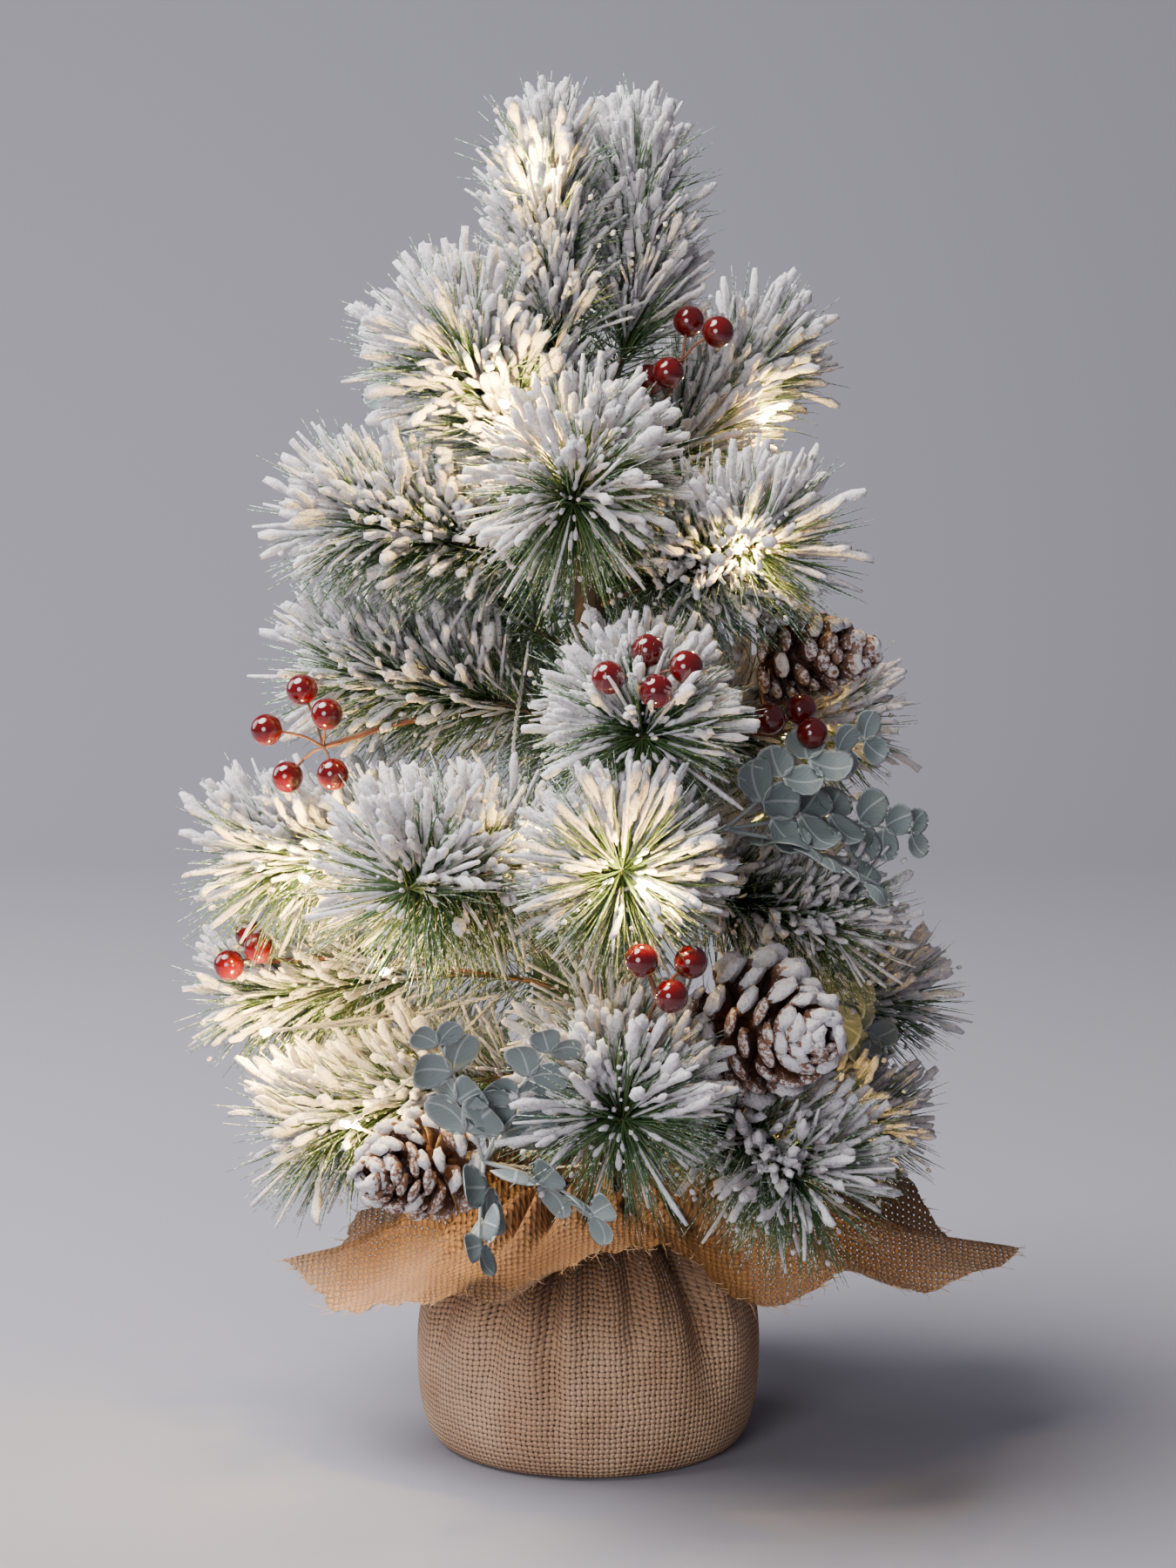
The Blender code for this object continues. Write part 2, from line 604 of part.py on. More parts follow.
def battery_box(finish):
    box = block_object("battery_box", (-BOX_HALF, BOX_BACK, BOX_Z),
                       (BOX_HALF, BOX_FRONT, BOX_TOP), finish)
    inner = BOX_HALF - BOX_WALL
    front = BOX_FRONT + BOX_WALL
    cell_bay = block_object("cell_bay_cutter", (-inner, BOX_BACK + BOX_WALL, BOX_Z + BOX_WALL),
                            (inner, COVER_Y + GAP, CELL_BAY_TOP), finish)
    slot = block_object("cover_slot_cutter", (-inner - LIP / 2, COVER_Y, BOX_Z - BOX_WALL),
                        (inner + LIP / 2, COVER_Y + COVER + 2 * GAP, CELL_BAY_TOP), finish)
    mouth = block_object("cover_mouth_cutter", (-inner + LIP, COVER_Y + COVER, BOX_Z - BOX_WALL),
                         (inner - LIP, front, CELL_BAY_TOP), finish)
    bay = block_object("switch_bay_cutter", (-inner, BOX_BACK + BOX_WALL, BAY_FLOOR_Z),
                       (inner, BOX_FRONT - BOX_WALL, BOX_TOP - BOX_WALL), finish)
    half = SWITCH_KNOB + SWITCH_TRAVEL + GAP
    knob_z = BAY_FLOOR_Z + SWITCH_BAY / 2
    window = block_object("switch_window_cutter",
                          (-half, BOX_FRONT - 2 * BOX_WALL, knob_z - KNOB_HALF - GAP),
                          (half, front, knob_z + KNOB_HALF + GAP), finish)
    hole_bm = bmesh.new()
    sweep(hole_bm, [LEAD_HOLE - Vector((0, 0, 2 * BOX_WALL)), LEAD_HOLE + Vector((0, 0, BOX_WALL))],
          [WIRE_RADIUS + 3 * GAP] * 2, 10)
    hole = add_object("lead_hole_cutter", hole_bm, finish)
    for tool in (cell_bay, slot, mouth, bay, window, hole):
        boolean(box, tool, "DIFFERENCE")


def battery_cover(finish):
    reach = BOX_HALF - BOX_WALL + LIP / 2 - GAP
    low = COVER_Y + GAP
    cover = block_object("battery_cover", (-reach, low, BOX_Z),
                         (reach, low + COVER, CELL_BAY_TOP - GAP), finish)
    grip_bm = bmesh.new()
    for rib in range(3):
        height = BOX_Z + (6 + 3 * rib) * MM
        block(grip_bm, (-GRIP_HALF, low + COVER * 0.5, height),
              (GRIP_HALF, low + COVER + GRIP_PROUD, height + GRIP_WIDE))
    grip = add_object("cover_grip", grip_bm, finish, smooth=False)
    boolean(cover, grip, "UNION")


def switch_slider(finish):
    """A T-shaped knob: its flange stays inside the bay, its nose stands out."""
    knob_z = BAY_FLOOR_Z + SWITCH_BAY / 2
    inside = BOX_FRONT - BOX_WALL - GAP
    flange = block_object("switch_slider", (-2 * SWITCH_KNOB, inside - FLANGE_THICK, knob_z - FLANGE_HALF),
                          (2 * SWITCH_KNOB, inside, knob_z + FLANGE_HALF), finish)
    nose_bm = bmesh.new()
    block(nose_bm, (-SWITCH_KNOB, inside - FLANGE_THICK / 2, knob_z - KNOB_HALF),
          (SWITCH_KNOB, BOX_FRONT + KNOB_PROUD, knob_z + KNOB_HALF))
    nose = add_object("slider_nose", nose_bm, finish, smooth=False)
    boolean(flange, nose, "UNION")


def cells(finish):
    """The cells stand side by side, each the other way up from the one beside it."""
    foot = CONTACT_Z + CONTACT + SPRING_HEIGHT + GAP
    for index in range(CELL_COUNT):
        profile = [
            (0, 0), (CELL_RADIUS * 0.9, 0), (CELL_RADIUS, CELL_BEVEL),
            (CELL_RADIUS, CELL_BODY - CELL_BEVEL), (CELL_RADIUS * 0.85, CELL_BODY),
            (CELL_NUB_RADIUS + 0.1 * MM, CELL_BODY), (CELL_NUB_RADIUS, CELL_BODY + CELL_NUB),
            (0, CELL_BODY + CELL_NUB),
        ]
        made = add_object("cell_%d" % (index + 1), turned(profile, 14), finish)
        across = (index - (CELL_COUNT - 1) / 2) * CELL_PITCH
        upright = index % 2 == 0
        made.location = (across, CELL_Y, foot if upright else TOP_CONTACT_Z - SPRING_HEIGHT - GAP)
        if not upright:
            made.rotation_euler = (math.pi, 0, 0)


def contact(name, plate_z, springs, up, finish):
    """A nickelled strip with a tapered coil, drawn solid, for each cell's flat end."""
    reach = BOX_HALF - BOX_WALL - GAP
    strip = block_object(name, (-reach, CELL_Y - STRIP_HALF, plate_z),
                         (reach, CELL_Y + STRIP_HALF, plate_z + CONTACT), finish)
    coil_bm = bmesh.new()
    for index in springs:
        across = (index - (CELL_COUNT - 1) / 2) * CELL_PITCH
        foot = plate_z + CONTACT / 2
        tip = plate_z + (CONTACT + SPRING_HEIGHT if up else -SPRING_HEIGHT)
        sweep(coil_bm, [Vector((across, CELL_Y, foot)), Vector((across, CELL_Y, tip))],
              [COIL_FOOT, COIL_TIP], 10)
    coils = add_object(name + "_coils", coil_bm, finish)
    boolean(strip, coils, "UNION")


def hull(points):
    """Convex outline of a set of plan points, counter-clockwise."""
    ordered = sorted(points)
    outline = []
    for run in (ordered, ordered[::-1]):
        start = len(outline)
        for spot in run:
            while len(outline) >= start + 2:
                a, b = outline[-2], outline[-1]
                if (b[0] - a[0]) * (spot[1] - a[1]) - (b[1] - a[1]) * (spot[0] - a[0]) > 0:
                    break
                outline.pop()
            outline.append(spot)
        outline.pop()
    return outline


def tie_strap(finish):
    """A cable tie round the trunk and the battery box."""
    round_trunk = TRUNK_RADIUS + 2 * GAP
    spots = []
    for step in range(12):
        turn = math.radians(30 * step)
        spots.append((round_trunk * math.cos(turn), round_trunk * math.sin(turn)))
    for x in (-BOX_HALF - GAP, BOX_HALF + GAP):
        for y in (BOX_BACK - GAP, BOX_FRONT + GAP):
            spots.append((x, y))
    mesh_bm = bmesh.new()
    outline = hull(spots)
    lower = [mesh_bm.verts.new((x, y, STRAP_Z - STRAP_HEIGHT / 2)) for x, y in outline]
    upper = [mesh_bm.verts.new((x, y, STRAP_Z + STRAP_HEIGHT / 2)) for x, y in outline]
    for index in range(len(outline)):
        after = (index + 1) % len(outline)
        mesh_bm.faces.new((lower[index], lower[after], upper[after], upper[index]))
    made = add_object("tie_strap", mesh_bm, finish, smooth=False, closed=False)
    band = made.modifiers.new("band", "SOLIDIFY")
    band.thickness = STRAP_THICK
    band.offset = 1
    band.use_even_offset = True


def smooth_run(knots):
    """Points on a smooth curve through the knots: each knot and one between."""
    line = []
    last = len(knots) - 1
    for index in range(last):
        a = knots[max(index - 1, 0)]
        b, c = knots[index], knots[index + 1]
        d = knots[min(index + 2, last)]
        line.append(b)
        line.append((b + c) * 0.5625 - (a + d) * 0.0625)
    line.append(knots[last])
    return line


def light_string(finish):
    """One insulated wire with its lamps moulded on; it starts inside the box."""
    inside = LEAD_HOLE - Vector((0, 0, BOX_WALL + 2 * MM))
    knots = [inside, LEAD_HOLE + Vector((0, 0, 3 * MM))]
    knots += [point(spot) for spot in STRING_LEAD + STRING_RUN]
    lamps = {tuple(point(spot)) for spot in STRING_RUN[1::2]}
    line = smooth_run(knots)
    curve = bpy.data.curves.new("light_string", "CURVE")
    curve.dimensions = "3D"
    curve.bevel_depth = WIRE_RADIUS
    curve.bevel_resolution = 2
    curve.use_fill_caps = True
    spline = curve.splines.new("POLY")
    spline.points.add(len(line) - 1)
    for spot, place in zip(spline.points, line):
        spot.co = (*place, 1.0)
        spot.radius = LAMP_RADIUS / WIRE_RADIUS if tuple(place) in lamps else 1.0
    curve.materials.append(finish)
    made = bpy.data.objects.new("light_string", curve)
    bpy.context.scene.collection.objects.link(made)


def main():
    for existing in list(bpy.data.objects):
        bpy.data.objects.remove(existing, do_unlink=True)
    look = finishes()
    hessian(look["hessian"])
    neck_tie(look["twine"])
    floor = pot_and_cement(look["pot"], look["cement"])
    trunk(floor, look["bark_tape"])
    for name, row in BRANCHES.items():
        branch(name, row, look["foliage"])
    for name, row in BERRY_PICKS.items():
        berry_pick(name, *row, look["berry"])
    for name, row in CONES.items():
        pine_cone(name, row, look["cone"])
    for name, row in SPRIGS.items():
        sprig_pick(name, *row, look["eucalyptus"])
    battery_box(look["battery_case"])
    battery_cover(look["battery_case"])
    switch_slider(look["battery_case"])
    cells(look["cell"])
    contact("contact_bottom", CONTACT_Z, (0, 2), True, look["contact"])
    contact("contact_top", TOP_CONTACT_Z, (1,), False, look["contact"])
    tie_strap(look["strap"])
    light_string(look["wire"])


main()
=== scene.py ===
import json
import math

import bmesh
import bpy
import numpy as np
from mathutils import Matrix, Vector


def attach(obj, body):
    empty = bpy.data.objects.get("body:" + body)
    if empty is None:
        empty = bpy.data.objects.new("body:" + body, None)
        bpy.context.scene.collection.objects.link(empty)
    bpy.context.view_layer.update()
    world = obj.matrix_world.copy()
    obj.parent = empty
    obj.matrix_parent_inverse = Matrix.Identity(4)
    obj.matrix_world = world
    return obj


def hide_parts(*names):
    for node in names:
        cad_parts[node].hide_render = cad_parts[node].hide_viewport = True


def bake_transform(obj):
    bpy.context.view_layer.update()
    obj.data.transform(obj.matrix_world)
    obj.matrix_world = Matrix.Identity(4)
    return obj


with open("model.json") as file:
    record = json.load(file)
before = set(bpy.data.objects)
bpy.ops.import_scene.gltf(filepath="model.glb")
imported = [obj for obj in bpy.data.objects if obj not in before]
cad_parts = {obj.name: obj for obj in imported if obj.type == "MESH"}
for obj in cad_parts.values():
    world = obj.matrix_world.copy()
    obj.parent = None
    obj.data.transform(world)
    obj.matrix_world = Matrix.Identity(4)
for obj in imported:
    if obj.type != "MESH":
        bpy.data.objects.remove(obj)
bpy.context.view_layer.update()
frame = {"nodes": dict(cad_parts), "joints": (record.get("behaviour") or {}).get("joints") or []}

MM = 0.001
TAU = math.tau
BODY = "_body"  # a branch's body is named after the branch

# ---- camera and studio
# A seamless pale grey studio sweep under one large soft light above and to the left,
# with a weak fill from the front. Nothing here belongs to the tree.
CAMERA_DISTANCE = 1.7
CAMERA_HEIGHT = 0.55
CAMERA_TILT = math.radians(81.4)
CAMERA_LENS = 90.46
BACKDROP = (0.232, 0.226, 0.262, 1.0)
SWEEP_FRONT = -4.0
SWEEP_BACK = 1.5
SWEEP_RADIUS = 0.9
SWEEP_STEPS = 24
SWEEP_TOP = 5.0
SWEEP_HALF = 5.0
SKY_COLOUR = (0.64, 0.62, 0.70, 1.0)
SKY_STRENGTH = 0.34


def link(obj):
    bpy.context.scene.collection.objects.link(obj)
    return obj


def put_value(tree, slot, value):
    """Links a socket to an input, or sets the input's own value."""
    if isinstance(value, bpy.types.NodeSocket):
        tree.links.new(value, slot)
    else:
        slot.default_value = value


def put(tree, kind, settings=None, **inputs):
    """Adds a node. Each input is a socket to link or a value; _6 means input number 6."""
    node = tree.nodes.new(kind)
    for key, value in (settings or {}).items():
        setattr(node, key, value)
    for key, value in inputs.items():
        number = key[1:]
        put_value(tree, node.inputs[int(number) if number.isdigit() else key.replace("_", " ")], value)
    return node


def calc(tree, operation, first, second=0.0, third=0.0):
    node = put(tree, "ShaderNodeMath", {"operation": operation}, _0=first, _1=second)
    if operation == "MULTIPLY_ADD":
        put_value(tree, node.inputs[2], third)
    return node.outputs[0]


def ease(tree, value, low, high, out_low=0.0, out_high=1.0):
    """Smooth step of a value between two limits."""
    settings = {"interpolation_type": "SMOOTHSTEP"}
    return put(tree, "ShaderNodeMapRange", settings,
               _0=value, _1=low, _2=high, _3=out_low, _4=out_high).outputs[0]


def mix(tree, share, first, second):
    node = put(tree, "ShaderNodeMix", {"data_type": "RGBA"}, _0=share, _6=first, _7=second)
    return node.outputs[2]


def noise(tree, where, scale, detail=2.0, rough=0.5):
    return put(tree, "ShaderNodeTexNoise", None,
               Vector=where, Scale=scale, Detail=detail, Roughness=rough).outputs[0]


def attribute(tree, name):
    return put(tree, "ShaderNodeAttribute", {"attribute_name": name}).outputs["Fac"]


def new_material(name):
    made = bpy.data.materials.new(name)
    made.use_nodes = True
    tree = made.node_tree
    shader = tree.nodes["Principled BSDF"]
    where = put(tree, "ShaderNodeTexCoord").outputs["Object"]
    return made, tree, shader, where


def set_shader(tree, shader, **inputs):
    for key, value in inputs.items():
        put_value(tree, shader.inputs[key.replace("_", " ")], value)


def bump(tree, shader, height, distance):
    made = put(tree, "ShaderNodeBump", None, Height=height, Distance=distance, Strength=1.0)
    tree.links.new(made.outputs[0], shader.inputs["Normal"])


def mesh_object(name, verts, faces, *materials):
    mesh = bpy.data.meshes.new(name)
    mesh.from_pydata([tuple(v) for v in verts], [], [tuple(f) for f in faces])
    mesh.shade_smooth()
    for made in materials:
        mesh.materials.append(made)
    return link(bpy.data.objects.new(name, mesh))


def area_light(name, place, target, size, power, colour):
    lamp = bpy.data.lights.new(name, "AREA")
    lamp.shape = "DISK"
    lamp.size = size
    lamp.energy = power
    lamp.color = colour
    made = link(bpy.data.objects.new(name, lamp))
    made.location = place
    made.rotation_euler = (Vector(target) - Vector(place)).to_track_quat("-Z", "Y").to_euler()


camera = bpy.data.cameras.new("camera")
camera.sensor_fit = "VERTICAL"
camera.sensor_height = 36
camera.lens = CAMERA_LENS
viewer = link(bpy.data.objects.new("camera", camera))
viewer.location = (0, -CAMERA_DISTANCE, CAMERA_HEIGHT)
viewer.rotation_euler = (CAMERA_TILT, 0, 0)
bpy.context.scene.camera = viewer

sweep = [(SWEEP_FRONT, 0.0), (SWEEP_BACK, 0.0)]
for step in range(1, SWEEP_STEPS + 1):
    turn = math.radians(90 * step / SWEEP_STEPS)
    sweep.append((SWEEP_BACK + SWEEP_RADIUS * math.sin(turn), SWEEP_RADIUS * (1 - math.cos(turn))))
sweep.append((SWEEP_BACK + SWEEP_RADIUS, SWEEP_TOP))
backdrop_verts = [(x, y, z) for y, z in sweep for x in (-SWEEP_HALF, SWEEP_HALF)]
backdrop_faces = [(2 * i, 2 * i + 1, 2 * i + 3, 2 * i + 2) for i in range(len(sweep) - 1)]
paper, tree, shader, where = new_material("studio_paper")
set_shader(tree, shader, Base_Color=BACKDROP, Roughness=0.9)
floor = mesh_object("studio_floor", backdrop_verts, backdrop_faces, paper)

world = bpy.data.worlds.new("studio")
world.use_nodes = True
sky = world.node_tree.nodes["Background"]
sky.inputs["Color"].default_value = SKY_COLOUR
sky.inputs["Strength"].default_value = SKY_STRENGTH
bpy.context.scene.world = world
area_light("key_light", (-0.9, -0.25, 2.0), (0, 0, 0.25), 1.5, 125, (1.0, 0.985, 0.97))
area_light("fill_light", (-0.8, -2.1, 0.75), (0, 0, 0.2), 1.1, 30, (0.97, 0.97, 1.0))
area_light("back_light", (-1.6, 0.6, 1.0), (0, 1.2, 0.3), 1.4, 26, (0.97, 0.98, 1.0))

# ---- helpers for grown shapes
# Tubes and lofted templates, and one Geometry Nodes group that sets an item over and
# over along a stem: needles, snow coats, leaves and cone scales all use it.


def smooth_line(knots, steps):
    """Catmull-Rom line through the knots."""
    knots = np.asarray(knots, float)
    padded = np.vstack((2 * knots[0] - knots[1], knots, 2 * knots[-1] - knots[-2]))
    line = []
    for i in range(1, len(padded) - 2):
        a, b, c, d = padded[i - 1:i + 3]
        for t in np.arange(steps) / steps:
            line.append(0.5 * (2 * b + (c - a) * t + (2 * a - 5 * b + 4 * c - d) * t ** 2
                               + (3 * b - a - 3 * c + d) * t ** 3))
    line.append(knots[-1])
    return np.array(line)


def tube(points, radii, sides):
    """Vertices, faces and share of the way along of a closed tube through the points."""
    points = np.asarray(points, float)
    radii = np.broadcast_to(radii, len(points))
    way = np.gradient(points, axis=0)
    way /= np.linalg.norm(way, axis=1)[:, None]
    side = np.cross(way[0], (0.31, 0.87, 0.39))
    verts, faces, along = [points[0]], [], [0.0]
    for i, (point, ahead) in enumerate(zip(points, way)):
        side = side - ahead * side.dot(ahead)
        side /= np.linalg.norm(side)
        other = np.cross(ahead, side)
        for k in range(sides):
            turn = TAU * k / sides
            verts.append(point + radii[i] * (side * math.cos(turn) + other * math.sin(turn)))
            along.append(i / (len(points) - 1))
    verts.append(points[-1])
    along.append(1.0)
    last = len(verts) - 1
    for k in range(sides):
        after = (k + 1) % sides
        faces.append((0, 1 + after, 1 + k))
        for i in range(len(points) - 1):
            low, high = 1 + i * sides, 1 + (i + 1) * sides
            faces.append((low + k, low + after, high + after, high + k))
        foot = 1 + (len(points) - 1) * sides
        faces.append((last, foot + k, foot + after))
    return np.array(verts), faces, np.array(along)


def gathered(name, shells, *materials):
    """One object from several closed shells, with the share along each as an attribute."""
    verts, faces, along, count = [], [], [], 0
    for shell_verts, shell_faces, shell_along in shells:
        verts.append(shell_verts)
        faces += [tuple(i + count for i in face) for face in shell_faces]
        along.append(shell_along)
        count += len(shell_verts)
    made = mesh_object(name, np.vstack(verts), faces, *materials)
    made.data.attributes.new("along", "FLOAT", "POINT").data.foreach_set(
        "value", np.concatenate(along).astype(np.float32))
    return made


def template(name, shells):
    """An item for the stem setter: kept out of the scene."""
    made = gathered(name, shells)
    bpy.context.scene.collection.objects.unlink(made)
    return made


GOLDEN_TURN = 2.39996  # from one item to the next, so that none stands behind another
SETTER_INPUTS = (
    ("Geometry", "Geometry", None), ("Item", "Object", None), ("Material", "Material", None),
    ("Count", "Int", 100), ("Start", "Float", 0.0), ("End", "Float", 1.0),
    ("Turn First", "Float", 0.0), ("Turn", "Float", GOLDEN_TURN), ("Turn Jitter", "Float", 0.5),
    ("Tilt Root", "Float", 1.0), ("Tilt Tip", "Float", 0.8), ("Tilt Jitter", "Float", 0.2),
    ("Size Root", "Float", 1.0), ("Size Tip", "Float", 1.0), ("Size Jitter", "Float", 0.12),
    ("Spin", "Float", math.pi), ("Keep", "Float", 1.0), ("Keep By Height", "Float", 0.0),
    ("Lump", "Float", 0.0), ("Lump Scale", "Float", 200.0), ("Seed", "Int", 1),
)


def stem_setter():
    tree = bpy.data.node_groups.new("set_on_stem", "GeometryNodeTree")
    for name, kind, value in SETTER_INPUTS:
        made = tree.interface.new_socket(name=name, in_out="INPUT", socket_type="NodeSocket" + kind)
        if value is not None:
            made.default_value = value
    tree.interface.new_socket(name="Geometry", in_out="OUTPUT", socket_type="NodeSocketGeometry")
    given = {s.name: s for s in tree.nodes.new("NodeGroupInput").outputs if s.name}

    def chance(offset, low, high):
        seed = calc(tree, "ADD", given["Seed"], offset)
        return put(tree, "FunctionNodeRandomValue", {"data_type": "FLOAT"},
                   _2=low, _3=high, _8=seed).outputs[1]

    def jitter(offset, amount):
        return calc(tree, "MULTIPLY", chance(offset, -1.0, 1.0), given[amount])

    def between(share, low, high):
        return put(tree, "ShaderNodeMapRange", None, _0=share, _3=low, _4=high).outputs[0]

    def turned(rotation, axis, angle):
        turn = put(tree, "FunctionNodeAxisAngleToRotation", None, _0=axis, _1=angle).outputs[0]
        return put(tree, "FunctionNodeRotateRotation", {"rotation_space": "LOCAL"},
                   _0=rotation, _1=turn).outputs[0]

    index = put(tree, "GeometryNodeInputIndex").outputs[0]
    share = calc(tree, "DIVIDE", calc(tree, "ADD", index, 0.5), given["Count"])
    curve = put(tree, "GeometryNodeMeshToCurve", None, _0=given["Geometry"]).outputs[0]
    sample = put(tree, "GeometryNodeSampleCurve", {"mode": "FACTOR"},
                 _0=curve, _2=between(share, given["Start"], given["End"]))
    points = put(tree, "GeometryNodePoints", None, _0=given["Count"], _1=sample.outputs[1]).outputs[0]
    turn = calc(tree, "MULTIPLY_ADD", index, given["Turn"], given["Turn First"])
    turn = calc(tree, "ADD", turn, jitter(1, "Turn Jitter"))
    tilt = between(share, given["Tilt Root"], given["Tilt Tip"])
    tilt = calc(tree, "ADD", tilt, jitter(2, "Tilt Jitter"))
    spin = jitter(3, "Spin")
    facing = put(tree, "FunctionNodeAlignRotationToVector", {"axis": "Z"},
                 _2=sample.outputs[2]).outputs[0]
    facing = turned(turned(facing, (0, 0, 1), turn), (0, 1, 0), tilt)
    upward = put(tree, "ShaderNodeSeparateXYZ", None,
                 _0=put(tree, "FunctionNodeRotateVector", None, _0=(0, 0, 1), _1=facing).outputs[0])
    wanted = calc(tree, "ADD", given["Keep"],
                  calc(tree, "MULTIPLY", upward.outputs[2], given["Keep By Height"]))
    kept = calc(tree, "LESS_THAN", chance(4, 0.0, 1.0), wanted)
    size = between(share, given["Size Root"], given["Size Tip"])
    size = calc(tree, "MULTIPLY", size, calc(tree, "ADD", 1.0, jitter(5, "Size Jitter")))
    item = put(tree, "GeometryNodeObjectInfo", None, _0=given["Item"]).outputs["Geometry"]
    set_items = put(tree, "GeometryNodeInstanceOnPoints", None, _0=points, _1=kept, _2=item,
                    _5=turned(facing, (0, 0, 1), spin), _6=size).outputs[0]
    real = put(tree, "GeometryNodeRealizeInstances", None, _0=set_items).outputs[0]
    place = put(tree, "GeometryNodeInputPosition").outputs[0]
    rise = noise(tree, place, given["Lump Scale"], 1.5)
    push = calc(tree, "MULTIPLY", calc(tree, "MULTIPLY", calc(tree, "SUBTRACT", rise, 0.5), 2.6),
                given["Lump"])
    outward = put(tree, "ShaderNodeVectorMath", {"operation": "SCALE"},
                  _0=put(tree, "GeometryNodeInputNormal").outputs[0], Scale=push).outputs[0]
    moved = put(tree, "GeometryNodeSetPosition", None, _0=real, _3=outward).outputs[0]
    painted = put(tree, "GeometryNodeSetMaterial", None, _0=moved, _2=given["Material"]).outputs[0]
    put(tree, "NodeGroupOutput", None, _0=painted)
    return tree


SETTER = stem_setter()


def set_on_stem(name, line, item, made_of, **settings):
    """Items set along a line, as a plain mesh object."""
    mesh = bpy.data.meshes.new(name)
    mesh.from_pydata([tuple(p) for p in line], [(i, i + 1) for i in range(len(line) - 1)], [])
    grown = link(bpy.data.objects.new(name, mesh))
    grown.data.materials.append(made_of)
    modifier = grown.modifiers.new("set_on_stem", "NODES")
    modifier.node_group = SETTER
    values = {"Item": item, "Material": made_of}
    values.update({key.replace("_", " "): value for key, value in settings.items()})
    for made in SETTER.interface.items_tree:
        if made.in_out == "INPUT" and made.name in values:
            modifier[made.identifier] = values[made.name]
    depsgraph = bpy.context.evaluated_depsgraph_get()
    plain = bpy.data.meshes.new_from_object(grown.evaluated_get(depsgraph), depsgraph=depsgraph)
    grown.modifiers.remove(modifier)
    grown.data = plain
    return grown


def joined(name, parts):
    """One object from several, each keeping its materials."""
    with bpy.context.temp_override(active_object=parts[0], object=parts[0],
                                   selected_objects=parts, selected_editable_objects=parts):
        bpy.ops.object.join()
    parts[0].name = name
    parts[0].data.name = name
    return parts[0]


def polar(azimuth, radius, height):
    turn = math.radians(azimuth)
    return np.array((radius * math.cos(turn), radius * math.sin(turn), height))


# ---- hessian wrap
# One square of natural hessian, set under the pot, gathered up round it and tied at the
# neck. Its four corners and edges fall outwards as a ruffle with a cut, frayed edge.
FOOT_RADIUS = 63 * MM
SACK_RADIUS = 76 * MM
SACK_WIDEST = 36 * MM
NECK_RADIUS = 24 * MM
NECK_HEIGHT = 108 * MM
COLLAR = 111.4 * MM
RUFFLE_HUMP = 7 * MM
THREAD = 2.5 * MM
THREADS_ROUND = 192
THREAD_ENDS = 420
THREADS_LEFT = -172 * MM
THREADS_RIGHT = 205 * MM
SPOKES = 384
RUFFLE_EDGE = (
    (-171, 135, 82), (-154, 124, 77), (-135, 113, 78), (-115, 104, 91), (-90, 92, 106), (-70, 93, 105),
    (-50, 111, 86), (-33, 127, 88), (-15, 151, 79), (0, 191, 79), (9, 168, 82), (20, 154, 106),
    (36, 120, 112), (60, 108, 88), (88, 152, 80), (118, 108, 90), (150, 96, 99), (174, 108, 88))
# creases that run down the sack from the neck: azimuth, depth, half width (degrees), lowest height
CREASES = (
    (-103, 7.5, 3.6, 0), (-124, 7.0, 5, 18), (-46, 12.0, 7, 18), (-74, 5.0, 3.4, 36), (-12, 6.0, 6, 24),
    (-150, 5.4, 5, 20), (172, 4.2, 5, 28), (140, 6.4, 6, 16), (108, 4.2, 4, 34), (82, 5.8, 6, 20),
    (52, 4.0, 5, 38), (22, 6.8, 6, 22))


def edge_at(azimuth):
    """Reach and height of the free edge of the cloth at an azimuth."""
    for here, after in zip(RUFFLE_EDGE, RUFFLE_EDGE[1:] + RUFFLE_EDGE[:1]):
        span = (after[0] - here[0]) % 360
        along = (azimuth - here[0]) % 360
        if along < span:
            t = along / span
            t = t * t * (3 - 2 * t)
            return ((here[1] + (after[1] - here[1]) * t) * MM, (here[2] + (after[2] - here[2]) * t) * MM)
    return RUFFLE_EDGE[0][1] * MM, RUFFLE_EDGE[0][2] * MM


def smoothstep(value, low, high):
    t = min(1.0, max(0.0, (value - low) / (high - low)))
    return t * t * (3 - 2 * t)


def sack_rings():
    """(radius, height) of the sack's outer face from under the pot up to the tie."""
    rings = [(FOOT_RADIUS * t, 0.0) for t in (0.5, 0.62, 0.74, 0.86, 0.95)]
    for step in range(0, 14):
        turn = math.radians(90 * step / 14)
        rings.append((FOOT_RADIUS + (SACK_RADIUS - FOOT_RADIUS) * math.sin(turn) ** 0.8,
                      SACK_WIDEST * (1 - math.cos(turn))))
    for step in range(0, 44):
        turn = math.radians(90 * step / 44)
        rings.append((NECK_RADIUS + (SACK_RADIUS - NECK_RADIUS) * math.cos(turn),
                      SACK_WIDEST + (NECK_HEIGHT - SACK_WIDEST) * math.sin(turn) ** 0.9))
    rings.append((NECK_RADIUS, NECK_HEIGHT))
    rings.append((NECK_RADIUS, COLLAR))
    return rings


